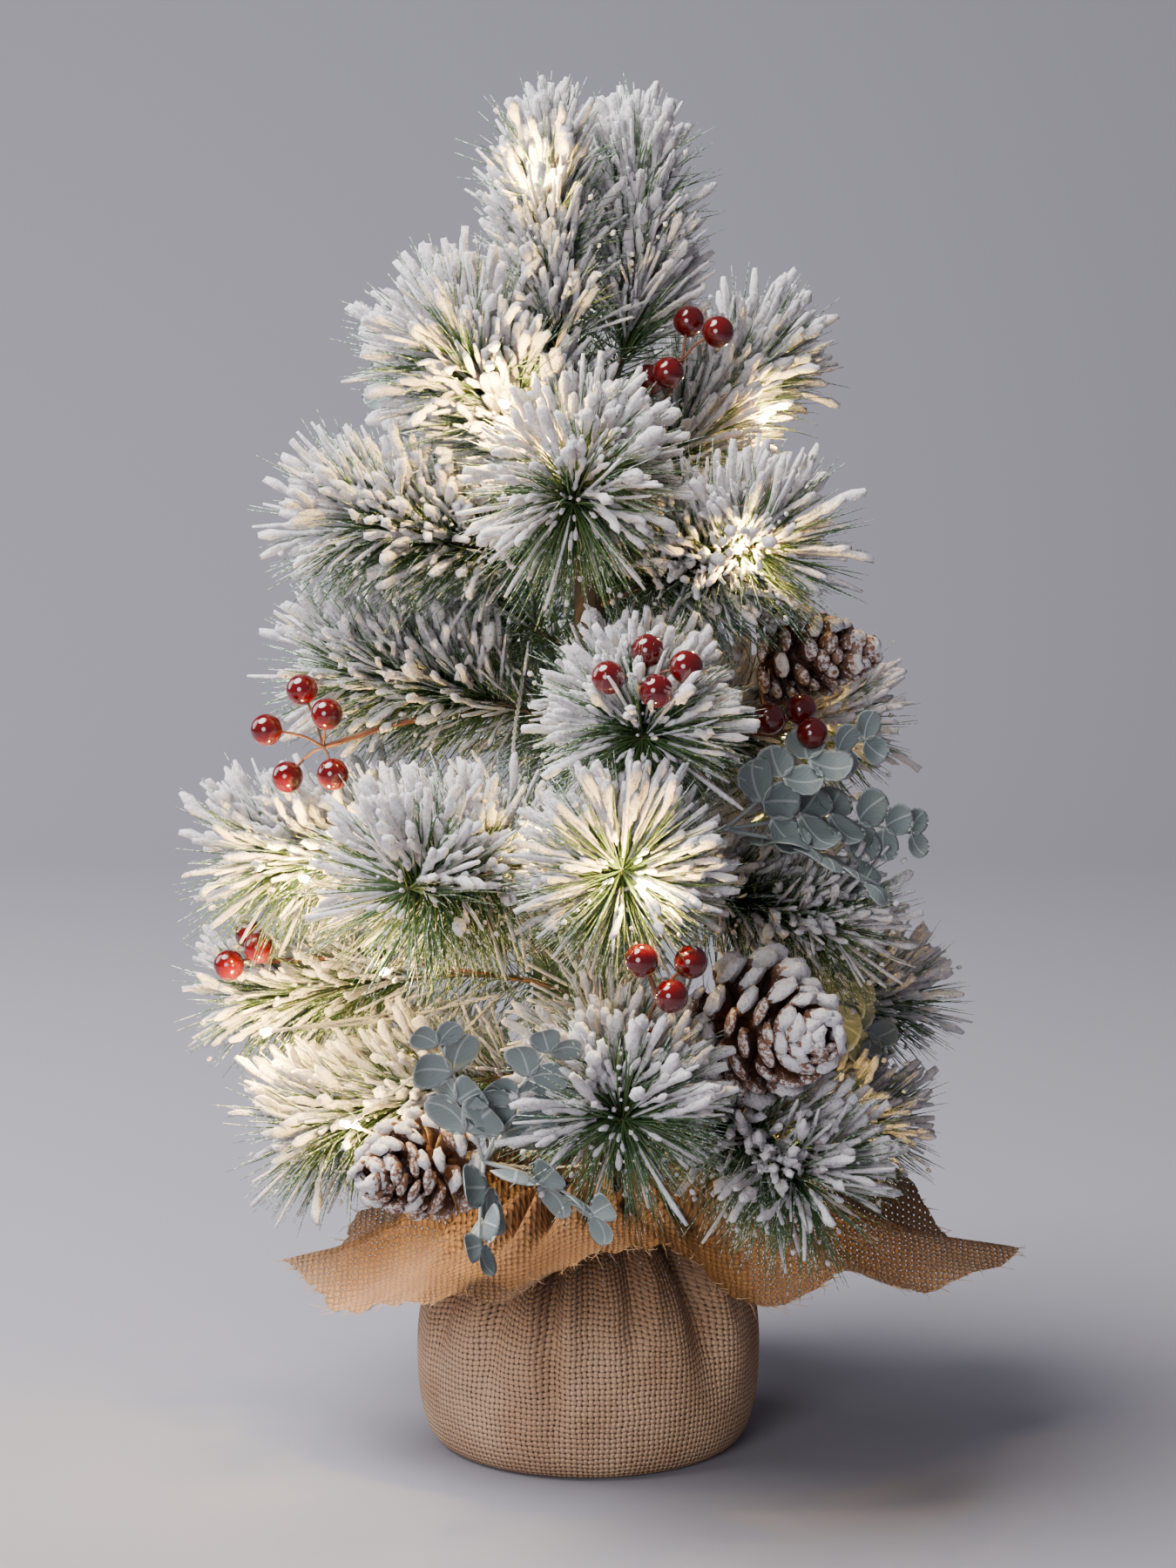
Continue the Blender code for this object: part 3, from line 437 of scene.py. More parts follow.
def pleat(azimuth, height):
    """How far the sack's face stands out or falls in at an azimuth and height."""
    gather = smoothstep(height, 52 * MM, 104 * MM)
    turn = math.radians(azimuth)
    out = gather * 2.6 * math.cos(27 * turn + 1.4 * math.sin(3 * turn)) * MM
    out += gather * 1.6 * math.cos(11 * turn + 2.0 * math.sin(2 * turn + 1)) * MM
    for centre, depth, width, low in CREASES:
        lean = 0.10 * (height / MM - 60)
        away = (azimuth - centre - lean * math.sin(centre) + 180) % 360 - 180
        if abs(away) < 4 * width:
            reach = smoothstep(height, low * MM, 96 * MM)
            valley = math.exp(-(away / width) ** 2)
            shoulder = math.exp(-((abs(away) - 1.9 * width) / width) ** 2)
            out += (0.42 * shoulder - valley) * depth * reach * MM
    return out


def cloth_grid():
    rings, flat = [], []
    rows = sack_rings()
    run = 0.0
    for number, (radius, height) in enumerate(rows):
        if number:
            run += math.dist(rows[number - 1], (radius, height))
        ring, ring_flat = [], []
        for spoke in range(SPOKES):
            azimuth = 360 * spoke / SPOKES
            out = pleat(azimuth, height)
            sag = -0.25 * out if height > SACK_WIDEST else 0.0
            ring.append(polar(azimuth, radius + out, height + sag))
            ring_flat.append((spoke * THREADS_ROUND / SPOKES, run / THREAD))
        rings.append(ring)
        flat.append(ring_flat)
    for step in range(1, 61):
        t = step / 60
        ring, ring_flat = [], []
        for spoke in range(SPOKES):
            azimuth = 360 * spoke / SPOKES
            turn = math.radians(azimuth)
            reach, height = edge_at(azimuth)
            radius = NECK_RADIUS + (reach - NECK_RADIUS) * t
            lift = RUFFLE_HUMP * math.sin(math.pi * min(1.0, t * 1.25)) * (1 - t) * 2
            gather = smoothstep(t, 0.0, 0.12) * (1 - smoothstep(t, 0.15, 0.75))
            wave = gather * 9.0 * math.cos(19 * turn + 1.7 * math.sin(3 * turn)) * MM
            wave += gather * 3.5 * math.cos(41 * turn + 2.3 * math.sin(5 * turn)) * MM
            wave += smoothstep(t, 0.2, 1.0) * 4.2 * math.cos(9 * turn + 2 * math.sin(2 * turn)) * MM
            wave += smoothstep(t, 0.75, 1.0) * 1.2 * math.cos(31 * turn + 3 * math.sin(5 * turn)) * MM
            out = (1 - t) ** 3 * pleat(azimuth, NECK_HEIGHT)
            ragged = smoothstep(t, 0.93, 1.0) * 0.7 * math.cos(97 * turn + 5 * math.sin(41 * turn)) * MM
            place = polar(azimuth, radius + out + ragged, COLLAR + (height - COLLAR) * t + lift + wave)
            ring.append(place)
            ring_flat.append((place[0] / THREAD, place[1] / THREAD))
        rings.append(ring)
        flat.append(ring_flat)
    return rings, flat, len(rows)


hessian_cloth, tree, shader, where = new_material("hessian_cloth")
uv = put(tree, "ShaderNodeUVMap", {"uv_map": "weave"}).outputs[0]
wobble = put(tree, "ShaderNodeVectorMath", {"operation": "SUBTRACT"},
             _0=put(tree, "ShaderNodeTexNoise", None, Vector=uv, Scale=0.16, Detail=3.0).outputs[1],
             _1=(0.5, 0.5, 0.5)).outputs[0]
thread_at = put(tree, "ShaderNodeVectorMath", {"operation": "MULTIPLY_ADD"},
                _0=wobble, _1=(1.3, 1.3, 0), _2=uv).outputs[0]
split = put(tree, "ShaderNodeSeparateXYZ", None, _0=thread_at)
across, upward = split.outputs[0], split.outputs[1]
parity = calc(tree, "MODULO", calc(tree, "ABSOLUTE", calc(
    tree, "ADD", calc(tree, "FLOOR", across), calc(tree, "FLOOR", upward))), 2.0)
warp_on_top = calc(tree, "GREATER_THAN", parity, 0.5)
from_warp = calc(tree, "ABSOLUTE", calc(tree, "SUBTRACT", calc(tree, "FRACT", across), 0.5))
from_weft = calc(tree, "ABSOLUTE", calc(tree, "SUBTRACT", calc(tree, "FRACT", upward), 0.5))


def thread_set(slub_at, from_middle, from_crossing, on_top):
    """Roundness and relief of the threads that run one way, thick and thin along their run."""
    slub = noise(tree, slub_at, 1.0)
    inside = calc(tree, "DIVIDE", from_middle, calc(tree, "MULTIPLY_ADD", slub, 0.34, 0.22))
    below_one = calc(tree, "SUBTRACT", 1.0, calc(tree, "MULTIPLY", inside, inside))
    rounded = calc(tree, "SQRT", calc(tree, "MAXIMUM", below_one, 0.0))
    near_crossing = calc(tree, "SUBTRACT", 1.0, calc(tree, "MULTIPLY", from_crossing, 1.6))
    crimp = calc(tree, "MULTIPLY_ADD", calc(tree, "MULTIPLY", on_top, 0.9), near_crossing, 0.35)
    return rounded, calc(tree, "MULTIPLY", rounded, crimp)


warp_at = put(tree, "ShaderNodeCombineXYZ", None, _0=calc(tree, "FLOOR", across),
              _1=calc(tree, "MULTIPLY", upward, 0.22)).outputs[0]
weft_at = put(tree, "ShaderNodeCombineXYZ", None, _0=calc(tree, "MULTIPLY", across, 0.22),
              _1=calc(tree, "FLOOR", upward), _2=7.0).outputs[0]
warp_round, warp_relief = thread_set(warp_at, from_warp, from_weft, warp_on_top)
weft_round, weft_relief = thread_set(weft_at, from_weft, from_warp,
                                     calc(tree, "SUBTRACT", 1.0, warp_on_top))
relief = calc(tree, "MAXIMUM", warp_relief, weft_relief)
solid = calc(tree, "GREATER_THAN", calc(tree, "MAXIMUM", warp_round, weft_round), 0.05)
blotch = noise(tree, where, 28.0, 3.0)
fibre = noise(tree, uv, 9.0, 3.0, 0.7)
tone = mix(tree, ease(tree, blotch, 0.35, 0.65), (0.45, 0.258, 0.146, 1), (0.61, 0.380, 0.228, 1))
tone = mix(tree, ease(tree, fibre, 0.35, 0.8, 0.0, 0.5), tone, (0.72, 0.50, 0.32, 1))
# Painted shade: from 45 mm up to 98 mm the cloth is multiplied darker, standing for the branches' shadow
# on the upper sack and ruffle.
height = put(tree, "ShaderNodeSeparateXYZ", None, _0=where).outputs[2]
painted_branch_shade = put(tree, "ShaderNodeMix", {"data_type": "RGBA", "blend_type": "MULTIPLY"},
              _0=ease(tree, height, 45 * MM, 98 * MM), _6=tone, _7=(0.43, 0.385, 0.35, 1)).outputs[2]
# Painted shade: where the thread relief is low, at the threads' edges and in the dips by the crossings,
# the colour goes near-black brown.
tone = mix(tree, ease(tree, relief, 0.0, 0.7, 0.85, 0.0), painted_branch_shade, (0.060, 0.028, 0.013, 1))
set_shader(tree, shader, Base_Color=tone, Roughness=0.92, Alpha=solid)
bump(tree, shader, calc(tree, "MULTIPLY_ADD", fibre, 0.16, relief), 0.9 * MM)

rings, flat, sack_count = cloth_grid()
verts = [(0, 0, 0)] + [v for ring in rings for v in ring]
faces = [(0, 1 + (s + 1) % SPOKES, 1 + s) for s in range(SPOKES)]
corners = [((0, 0), flat[0][(s + 1) % SPOKES], flat[0][s]) for s in range(SPOKES)]
for number in range(len(rings) - 1):
    for s in range(SPOKES):
        after = (s + 1) % SPOKES
        low, high = 1 + number * SPOKES, 1 + (number + 1) * SPOKES
        faces.append((low + s, low + after, high + after, high + s))
        corner = [flat[number][s], flat[number][after], flat[number + 1][after], flat[number + 1][s]]
        if number < sack_count - 1 and after == 0:
            corner[1] = (THREADS_ROUND, corner[1][1])
            corner[2] = (THREADS_ROUND, corner[2][1])
        if number == sack_count - 1:
            corner[0] = (rings[number][s][0] / THREAD, rings[number][s][1] / THREAD)
            corner[1] = (rings[number][after][0] / THREAD, rings[number][after][1] / THREAD)
        corners.append(corner)
wrap = mesh_object("hessian_cloth", verts, faces, hessian_cloth)
wrap.data.uv_layers.new(name="weave").data.foreach_set(
    "uv", np.array([uv_pair for corner in corners for uv_pair in corner], np.float32).ravel())

jute, tree, shader, where = new_material("jute_thread")
strand_tone = mix(tree, noise(tree, where, 900.0), (0.30, 0.18, 0.095, 1), (0.60, 0.44, 0.28, 1))
set_shader(tree, shader, Base_Color=strand_tone, Roughness=0.95)
chance = np.random.default_rng(11)
strands = []
edge_ring = np.array(rings[-1])
for number in range(THREAD_ENDS):
    at = chance.integers(SPOKES)
    foot = edge_ring[at] * (1 - chance.uniform(0.0, 0.02))
    foot[2] = edge_ring[at][2]
    away = foot * (1, 1, 0) / np.linalg.norm(foot[:2])
    drift = chance.normal(0, 0.45, 3)
    reach = chance.uniform(2.0, 6.5) * MM
    middle = foot + (away + drift * 0.5) * reach * 0.5
    end = foot + (away + drift) * reach
    end[0] = max(THREADS_LEFT, min(THREADS_RIGHT, end[0]))
    strands.append(tube((foot, middle, end), (0.22 * MM, 0.18 * MM, 0.08 * MM), 3))
frayed = gathered("frayed_threads", strands, jute)

for piece in (wrap, frayed):
    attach(piece, "base")
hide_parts("hessian_wrap")

# ---- snow, needles and stems of the branches
# Each branch is a twisted wire brush of fine green PVC needles. Sprayed flock sits on
# the needles as thick lumpy white fingers, heaviest on top and towards the tips.
NEEDLE = 50 * MM
STEM_WIRE = 1.3 * MM
NEEDLE_END = 24 * MM  # how far the frame's branch goes past its stem
TUFT_LENGTH = 62 * MM  # of the stem's end that bears the thick tuft
LEADER_TUFT = 95 * MM
LEADER_TOP = 0.80  # share of a leader's stem where its tuft ends
INNER_TILT = math.radians(62)
# tilt of the needles from the stem at the root and at the tip (degrees), and their size
TUFTS = {
    "leader_left": (26, 8, 0.86), "leader_right": (28, 9, 0.88),
    "branch_crown_left": (58, 34, 1.02), "branch_crown_front": (62, 52, 0.95),
    "branch_crown_right": (50, 26, 0.88), "branch_upper_right": (62, 50, 0.90),
    "branch_middle_right": (60, 42, 0.80), "branch_low_right": (60, 42, 0.78),
    "branch_lower_right": (60, 42, 0.76), "branch_bottom_right": (60, 42, 0.76),
    "branch_bottom_back_right": (60, 44, 0.78),
    "branch_middle_front": (72, 66, 0.84), "branch_low_front": (74, 68, 0.86),
    "branch_lower_left": (60, 44, 0.80), "branch_lower_back": (60, 44, 0.68),
    "branch_low_back_left": (60, 44, 0.80), "branch_bottom_back_left": (60, 44, 0.80),
    "branch_low_front_left": (70, 64, 0.95), "branch_bottom_front": (72, 66, 0.9),
    "branch_bottom_front_right": (60, 48, 0.9), "branch_low_left": (60, 46, 0.88),
}
USUAL_TUFT = (60, 40, 0.90)
# how far the end of a stem is bent over, so that its tuft opens to one side (mm)
TIP_BENDS = {
    "branch_low_front": (-6, 6, 13), "branch_middle_front": (-6, 4, -5),
    "branch_low_front_left": (-10, 4, 4), "branch_crown_front": (0, 4, -15),
}

green, tree, shader, where = new_material("green_needles")
along = attribute(tree, "along")
hue = mix(tree, noise(tree, where, 60.0), (0.018, 0.082, 0.042, 1), (0.105, 0.165, 0.030, 1))
speck = noise(tree, where, 620.0, 3.0, 0.7)
top_face = put(tree, "ShaderNodeSeparateXYZ", None,
               _0=put(tree, "ShaderNodeNewGeometry").outputs["Normal"]).outputs[2]
dusting = calc(tree, "ADD", speck, calc(tree, "MULTIPLY_ADD", along, 0.24, calc(
    tree, "MULTIPLY", top_face, 0.07)))
frosted = mix(tree, ease(tree, dusting, 0.70, 0.84), hue, (0.74, 0.78, 0.78, 1))
set_shader(tree, shader, Base_Color=frosted, Roughness=0.55)

snow, tree, shader, where = new_material("snow_flock")
grain = noise(tree, where, 500.0, 4.0, 0.75)
lump = noise(tree, where, 110.0, 2.0)
white = mix(tree, ease(tree, lump, 0.3, 0.7), (0.86, 0.815, 0.85, 1), (0.97, 0.925, 0.945, 1))
# Painted shade: where the grain noise is low the flock turns grey, standing for the shade between its
# granules.
white = mix(tree, ease(tree, grain, 0.34, 0.50, 0.7, 0.0), white, (0.46, 0.44, 0.475, 1))
set_shader(tree, shader, Base_Color=white, Roughness=0.95, Subsurface_Weight=0.25,
           Subsurface_Scale=2.5 * MM)
shader.inputs["Subsurface Radius"].default_value = (1.0, 0.85, 0.7)
shader.inputs["Specular IOR Level"].default_value = 0.2
bump(tree, shader, grain, 3.0 * MM)

bark, tree, shader, where = new_material("brown_stem")
bark_tone = mix(tree, noise(tree, where, 400.0, 3.0), (0.06, 0.032, 0.018, 1), (0.20, 0.12, 0.07, 1))
set_shader(tree, shader, Base_Color=bark_tone, Roughness=0.85)


def bent(length, start, bow, radii):
    """Centres of an item that stands up from the stem and bows to one side."""
    shares = np.linspace(start, 1.0, len(radii))
    return np.array([(bow * t * t, 0, length * t) for t in shares])


needle_radii = np.array((0.38, 0.44, 0.38, 0.10)) * MM
needle_item = template("needle_item", [tube(bent(NEEDLE, 0, 6 * MM, needle_radii), needle_radii, 3)])
coat_radii = np.array((0.4, 0.9, 1.25, 1.35, 1.5, 1.8, 2.1, 1.3)) * MM
coat_item = template("coat_item", [tube(bent(NEEDLE, 0.34, 10 * MM, coat_radii), coat_radii, 5)])
clump_radii = np.array((0.6, 1.5, 2.3, 2.8, 3.0, 2.6, 1.4)) * MM
clump_item = template("clump_item", [tube(bent(NEEDLE, 0.64, -5 * MM, clump_radii), clump_radii, 6)])
thin_radii = np.array((0.4, 0.7, 0.85, 0.95, 1.1, 0.7)) * MM
thin_item = template("thin_coat_item", [tube(bent(NEEDLE, 0.12, 4 * MM, thin_radii), thin_radii, 4)])
crumb_shells = []
for share, radius in ((0.30, 0.8), (0.47, 1.0), (0.62, 0.9), (0.80, 1.2)):
    crumb = [(radius * MM * 1.5, 0, NEEDLE * share + step * radius * MM) for step in (-1, 0, 1)]
    crumb_shells.append(tube(crumb, (0.5 * radius * MM, radius * MM, 0.5 * radius * MM), 5))
crumb_item = template("crumb_item", crumb_shells)


def stem_line(node, root):
    """Centre line of a branch of the frame, from its root to the end of its stem."""
    mesh = frame["nodes"][node].data
    co = np.array([v.co for v in mesh.vertices])
    reach = np.linalg.norm(co - root, axis=1)
    marks = np.linspace(0, reach.max() - NEEDLE_END, 9)
    weight = np.exp(-((reach[:, None] - marks) / (0.7 * marks[1])) ** 2)
    line = weight.T @ co / weight.sum(0)[:, None]
    line[0] = root
    return line


roots = {}
for joint in frame["joints"]:
    if joint["name"].endswith("_bend"):
        roots[joint["name"][:-5]] = np.array(joint["pos_m"])
stems = {name: stem_line(name, root) for name, root in roots.items()}
for number, (name, line) in enumerate(sorted(stems.items())):
    tilt_root, tilt_tip, size = TUFTS.get(name, USUAL_TUFT)
    tilt_root, tilt_tip = math.radians(tilt_root), math.radians(tilt_tip)
    leader = name.startswith("leader")
    top = LEADER_TOP if leader else 1.0
    length = np.linalg.norm(np.diff(line, axis=0), axis=1).sum()
    tuft_start = max(0.1, 1 - (LEADER_TUFT if leader else TUFT_LENGTH) / length)
    share = np.clip((np.linspace(0, 1, len(line)) - tuft_start) / (1 - tuft_start), 0, 1)
    line = line + share[:, None] ** 2 * np.array(TIP_BENDS.get(name, (0, 0, 0))) * MM
    seed = 100 * number
    tuft = dict(Start=tuft_start, End=top, Tilt_Root=tilt_root, Tilt_Tip=tilt_tip, Turn_Jitter=1.5)
    sparse = dict(End=top, Tilt_Root=INNER_TILT, Tilt_Tip=tilt_tip)
    parts = [
        gathered("stem", [tube(line, [STEM_WIRE] * 8 + [0.8 * MM], 6)], bark),
        set_on_stem("inner", line, needle_item, green, Count=300, End=0.9, Turn_Jitter=1.0,
                    Tilt_Root=math.radians(64), Tilt_Tip=math.radians(60), Tilt_Jitter=0.35,
                    Size_Root=0.8 * size, Size_Tip=0.9 * size, Seed=seed + 10),
        set_on_stem("outer", line, needle_item, green, Count=560, Tilt_Jitter=0.34, Size_Root=size,
                    Size_Tip=1.06 * size, Size_Jitter=0.16, Seed=seed + 20, **tuft),
        set_on_stem("coats", line, coat_item, snow, Count=330, Tilt_Jitter=0.34,
                    Size_Root=0.94 * size, Size_Tip=0.98 * size, Size_Jitter=0.2, Keep=0.47,
                    Keep_By_Height=0.75, Lump=2.1 * MM, Lump_Scale=380.0, Seed=seed + 30, **tuft),
        set_on_stem("clumps", line, clump_item, snow, Count=110, Tilt_Jitter=0.36,
                    Size_Root=0.9 * size, Size_Tip=0.96 * size, Size_Jitter=0.2, Keep=0.35,
                    Keep_By_Height=0.75, Lump=2.8 * MM, Lump_Scale=300.0, Seed=seed + 35, **tuft),
        set_on_stem("heart", line, clump_item, snow, Count=18, Start=top - 0.06, End=top,
                    Tilt_Root=1.1, Tilt_Tip=0.35, Tilt_Jitter=0.3, Size_Root=0.36, Size_Tip=0.34,
                    Size_Jitter=0.3, Lump=0.8 * MM, Lump_Scale=420.0, Seed=seed + 37),
        set_on_stem("thin_coats", line, thin_item, snow, Count=240, Start=0.2, Tilt_Jitter=0.36,
                    Size_Root=0.85 * size, Size_Tip=size, Size_Jitter=0.2, Turn_Jitter=1.5, Keep=0.55,
                    Keep_By_Height=0.3, Lump=0.6 * MM, Lump_Scale=450.0, Seed=seed + 40, **sparse),
        set_on_stem("crumbs", line, crumb_item, snow, Count=42, Start=0.3, Tilt_Jitter=0.35,
                    Lump=0.35 * MM, Lump_Scale=700.0, Seed=seed + 50, **sparse),
    ]
    brush = joined("brush_" + name, parts)
    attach(brush, name + BODY)
    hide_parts(name)

# ---- berry picks
# Glossy red lacquered foam berries on thin brown papered wires that fork from one stem
# twisted to a branch.
BERRY_RADIUS = 6.8 * MM
# host branch, fork, then the middle of each berry (mm)
BERRY_PICKS = {
    "berry_pick_left": ("branch_middle_left", (-112, -48, 316), (
        (-121, -45, 340), (-135, -60, 325), (-110, -55, 331), (-128, -40, 302), (-107, -66, 307))),
    "berry_pick_top_right": ("branch_crown_right", (40, -20, 478), (
        (43, -13, 494), (55, -26, 490), (34, -32, 473), (26, -12, 469))),
    "berry_pick_centre": ("branch_middle_front", (22, -134, 353), (
        (24, -133, 367), (39, -146, 362), (8, -148, 358), (27, -151, 353))),
    "berry_pick_low_front": ("branch_low_front", (28, -150, 228), (
        (21, -170, 248), (41, -158, 245), (33, -172, 234), (22, -147, 212))),
    "berry_pick_low_left": ("branch_lower_left", (-142, 0, 214), (
        (-149, 7, 225), (-157, -8, 214), (-143, -15, 223))),
    "berry_pick_right": ("branch_middle_right", (80, -54, 322), (
        (76, -62, 330), (90, -50, 332), (94, -64, 324))),
    "berry_pick_back": ("branch_middle_back", (-58, 104, 344), (
        (-52, 108, 358), (-70, 106, 352), (-58, 120, 346), (-46, 120, 342))),
}

lacquer, tree, shader, where = new_material("red_lacquer")
deep = mix(tree, noise(tree, where, 90.0), (0.062, 0.0005, 0.001, 1), (0.105, 0.001, 0.002, 1))
set_shader(tree, shader, Base_Color=deep, Roughness=0.10)
shader.inputs["Coat Weight"].default_value = 0.6
shader.inputs["Coat Roughness"].default_value = 0.04

paper_wire, tree, shader, where = new_material("papered_wire")
wrap_tone = mix(tree, noise(tree, where, 500.0), (0.085, 0.030, 0.018, 1), (0.21, 0.085, 0.045, 1))
set_shader(tree, shader, Base_Color=wrap_tone, Roughness=0.75)


def ball(centre, radius, around=24, rows=14):
    """A closed sphere as a tube: its ends are poles."""
    turns = np.linspace(0, math.pi, rows)[1:-1]
    points = [centre + np.array((0, 0, -radius * math.cos(t))) for t in turns]
    verts, faces, along = tube(points, [radius * math.sin(t) for t in turns], around)
    verts[0] = centre - np.array((0, 0, radius))
    verts[-1] = centre + np.array((0, 0, radius))
    return verts, faces, along


for name, (host, fork, berries) in BERRY_PICKS.items():
    fork = np.array(fork) * MM
    foot = stems[host][2]
    main = smooth_line((foot, foot * 0.45 + fork * 0.55 + (0, 0, 4 * MM), fork), 6)
    twigs = [tube(main, 1.2 * MM, 6)]
    balls = []
    for berry in berries:
        centre = np.array(berry) * MM
        side = centre * 0.4 + fork * 0.6 + (0, 0, 2 * MM)
        twigs.append(tube(smooth_line((fork, side, centre), 4), 0.65 * MM, 6))
        balls.append(ball(centre, BERRY_RADIUS))
    pick = joined(name + "_look", [gathered("balls", balls, lacquer),
                                   gathered("twigs", twigs, paper_wire)])
    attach(pick, host + BODY)
    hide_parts(name)

# ---- pine cones
# Dried brown cones on a wire. Each has a spiral of woody shovel-shaped scales, with
# flock on the upper scale tips.
# azimuth, reach and height of the middle (mm), pitch (degrees), length and radius (mm),
# share of the scales with snow, body
CONES = {
    "pine_cone_right": (-12, 96, 352, 6, 58, 25, 0.15, "branch_middle_right_body"),
    "pine_cone_low_right": (-57, 140, 209, 4, 62, 33, 0.62, "branch_bottom_front_right_body"),
    "pine_cone_low_left": (-127, 122, 146, 2, 58, 26, 0.62, "base"),
    "pine_cone_back": (117, 114, 222, -10, 58, 26, 0.5, "branch_lower_back_body"),
}
wood, tree, shader, where = new_material("cone_wood")
along = attribute(tree, "along")
grain = noise(tree, where, 300.0, 4.0)
woody = mix(tree, grain, (0.035, 0.012, 0.006, 1), (0.12, 0.045, 0.022, 1))
woody = mix(tree, ease(tree, along, 0.55, 1.0, 0.0, 0.75), woody, (0.22, 0.10, 0.055, 1))
rime = calc(tree, "MULTIPLY_ADD", along, 0.30, noise(tree, where, 520.0, 3.0, 0.7))
woody = mix(tree, ease(tree, rime, 0.74, 0.88, 0.0, 0.8), woody, (0.74, 0.71, 0.73, 1))
set_shader(tree, shader, Base_Color=woody, Roughness=0.5)
bump(tree, shader, grain, 0.5 * MM)


def knob(name, rows, first, last):
    """A flattened shell along z. Each row is height, half width, half thickness and lift (mm)."""
    verts, faces, along = tube([(0, 0, height * MM) for height, *_ in rows], 1.0, 8)
    for i, (height, wide, thick, lift) in enumerate(rows):
        for k in range(8):
            turn = TAU * (k + 0.5) / 8
            verts[1 + i * 8 + k] = np.array((thick * math.cos(turn) - lift, wide * math.sin(turn),
                                             height)) * MM
    verts[0] = np.array(first) * MM
    verts[-1] = np.array(last) * MM
    return template(name, [(verts, faces, along)])


# a woody scale: a thin stalk that widens to a thick, turned-up end
scale_shape = knob("scale_item", (
    (0.2, 0.8, 0.5, 0.0), (7, 1.8, 0.7, 0.2), (12, 3.6, 1.0, 0.8), (16, 5.2, 1.8, 1.8),
    (18.6, 4.9, 2.2, 3.0), (20, 3.0, 1.5, 4.0)), (0, 0, 0), (-4.2, 0, 20.6))
# flock that clings round the scale's end
scale_snow = knob("scale_snow_item", (
    (16.0, 2.4, 1.2, 2.4), (17.2, 4.3, 2.0, 3.0), (19.0, 4.7, 2.5, 3.8), (20.6, 3.4, 2.2, 4.4),
    (21.4, 1.6, 1.2, 4.7)), (-2.2, 0, 15.4), (-4.8, 0, 21.9))
for number, (name, row) in enumerate(CONES.items()):
    azimuth, reach, height, pitch, length, radius, snowy, body = row
    centre = polar(azimuth, reach * MM, height * MM)
    rise = math.radians(pitch)
    way = polar(azimuth, math.cos(rise), math.sin(rise))
    line = [centre + way * length * MM * t for t in np.linspace(-0.34, 0.26, 9)]
    grow = radius / 21.0
    spiral = dict(Count=76, Turn_Jitter=0.12, Tilt_Root=1.75, Tilt_Tip=0.42, Tilt_Jitter=0.12,
                  Size_Root=0.98 * grow, Size_Tip=0.72 * grow, Size_Jitter=0.08, Spin=0.12,
                  Seed=900 + number)
    core = tube(line, np.array((2, 5, 6, 6, 6, 5.5, 5, 4, 2.5)) * MM * grow, 10)
    parts = [
        gathered("core", [core], wood),
        set_on_stem("scales", line, scale_shape, wood, **spiral),
        set_on_stem("scale_snow", line, scale_snow, snow, Keep=snowy, Keep_By_Height=0.5,
                    Lump=2.4 * MM, Lump_Scale=420.0, **spiral),
    ]
    cone = joined(name + "_look", parts)
    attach(cone, body)
    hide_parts(name)

# ---- eucalyptus
# Moulded grey-blue eucalyptus: thin stems with opposite pairs of round cupped leaves,
# spread to both sides of its stem, and smaller towards the tip.
# start (a branch, or a point in mm), crotch, tips (mm), body
SPRIGS = {
    "eucalyptus_right": ("branch_low_right", (56, -92, 288), (
        (121, -58, 323), (142, -48, 278), (122, -78, 262)), "branch_low_right_body"),
    "eucalyptus_low_left": (None, (-42, -152, 162), (
        (-62, -176, 222), (-12, -182, 220), (-44, -178, 128), (8, -184, 146)), "base"),
    "eucalyptus_low_right": ("branch_lower_right", (92, -10, 186), (
        (116, -22, 208), (128, -6, 178)), "branch_lower_right_body"),
    "eucalyptus_top_left": ("branch_crown_left", (-52, 14, 448), (
        (-78, 20, 498), (-92, 22, 466)), "branch_crown_left_body"),
}
LEAF_SPACING = 16 * MM
LEAF_LENGTH = 22 * MM

leaf_skin, tree, shader, where = new_material("eucalyptus_leaf")
along = attribute(tree, "along")
rim = attribute(tree, "rim")
aside = attribute(tree, "aside")
side_vein = calc(tree, "ABSOLUTE", calc(tree, "SUBTRACT", calc(tree, "FRACT", calc(
    tree, "SUBTRACT", calc(tree, "MULTIPLY", along, 6.0), calc(tree, "MULTIPLY", calc(
        tree, "ABSOLUTE", aside), 3.4))), 0.5))
veins = calc(tree, "MAXIMUM", ease(tree, side_vein, 0.0, 0.09, 0.6, 0.0),
             ease(tree, calc(tree, "ABSOLUTE", aside), 0.02, 0.10, 1.0, 0.0))
pale = calc(tree, "MAXIMUM", calc(tree, "MULTIPLY", veins, 0.45), ease(tree, rim, 0.82, 1.0, 0.0, 0.8))
sage = mix(tree, noise(tree, where, 45.0), (0.120, 0.155, 0.160, 1), (0.190, 0.225, 0.218, 1))
sage = mix(tree, pale, sage, (0.50, 0.54, 0.54, 1))
set_shader(tree, shader, Base_Color=sage, Roughness=0.6)
bump(tree, shader, veins, 0.25 * MM)


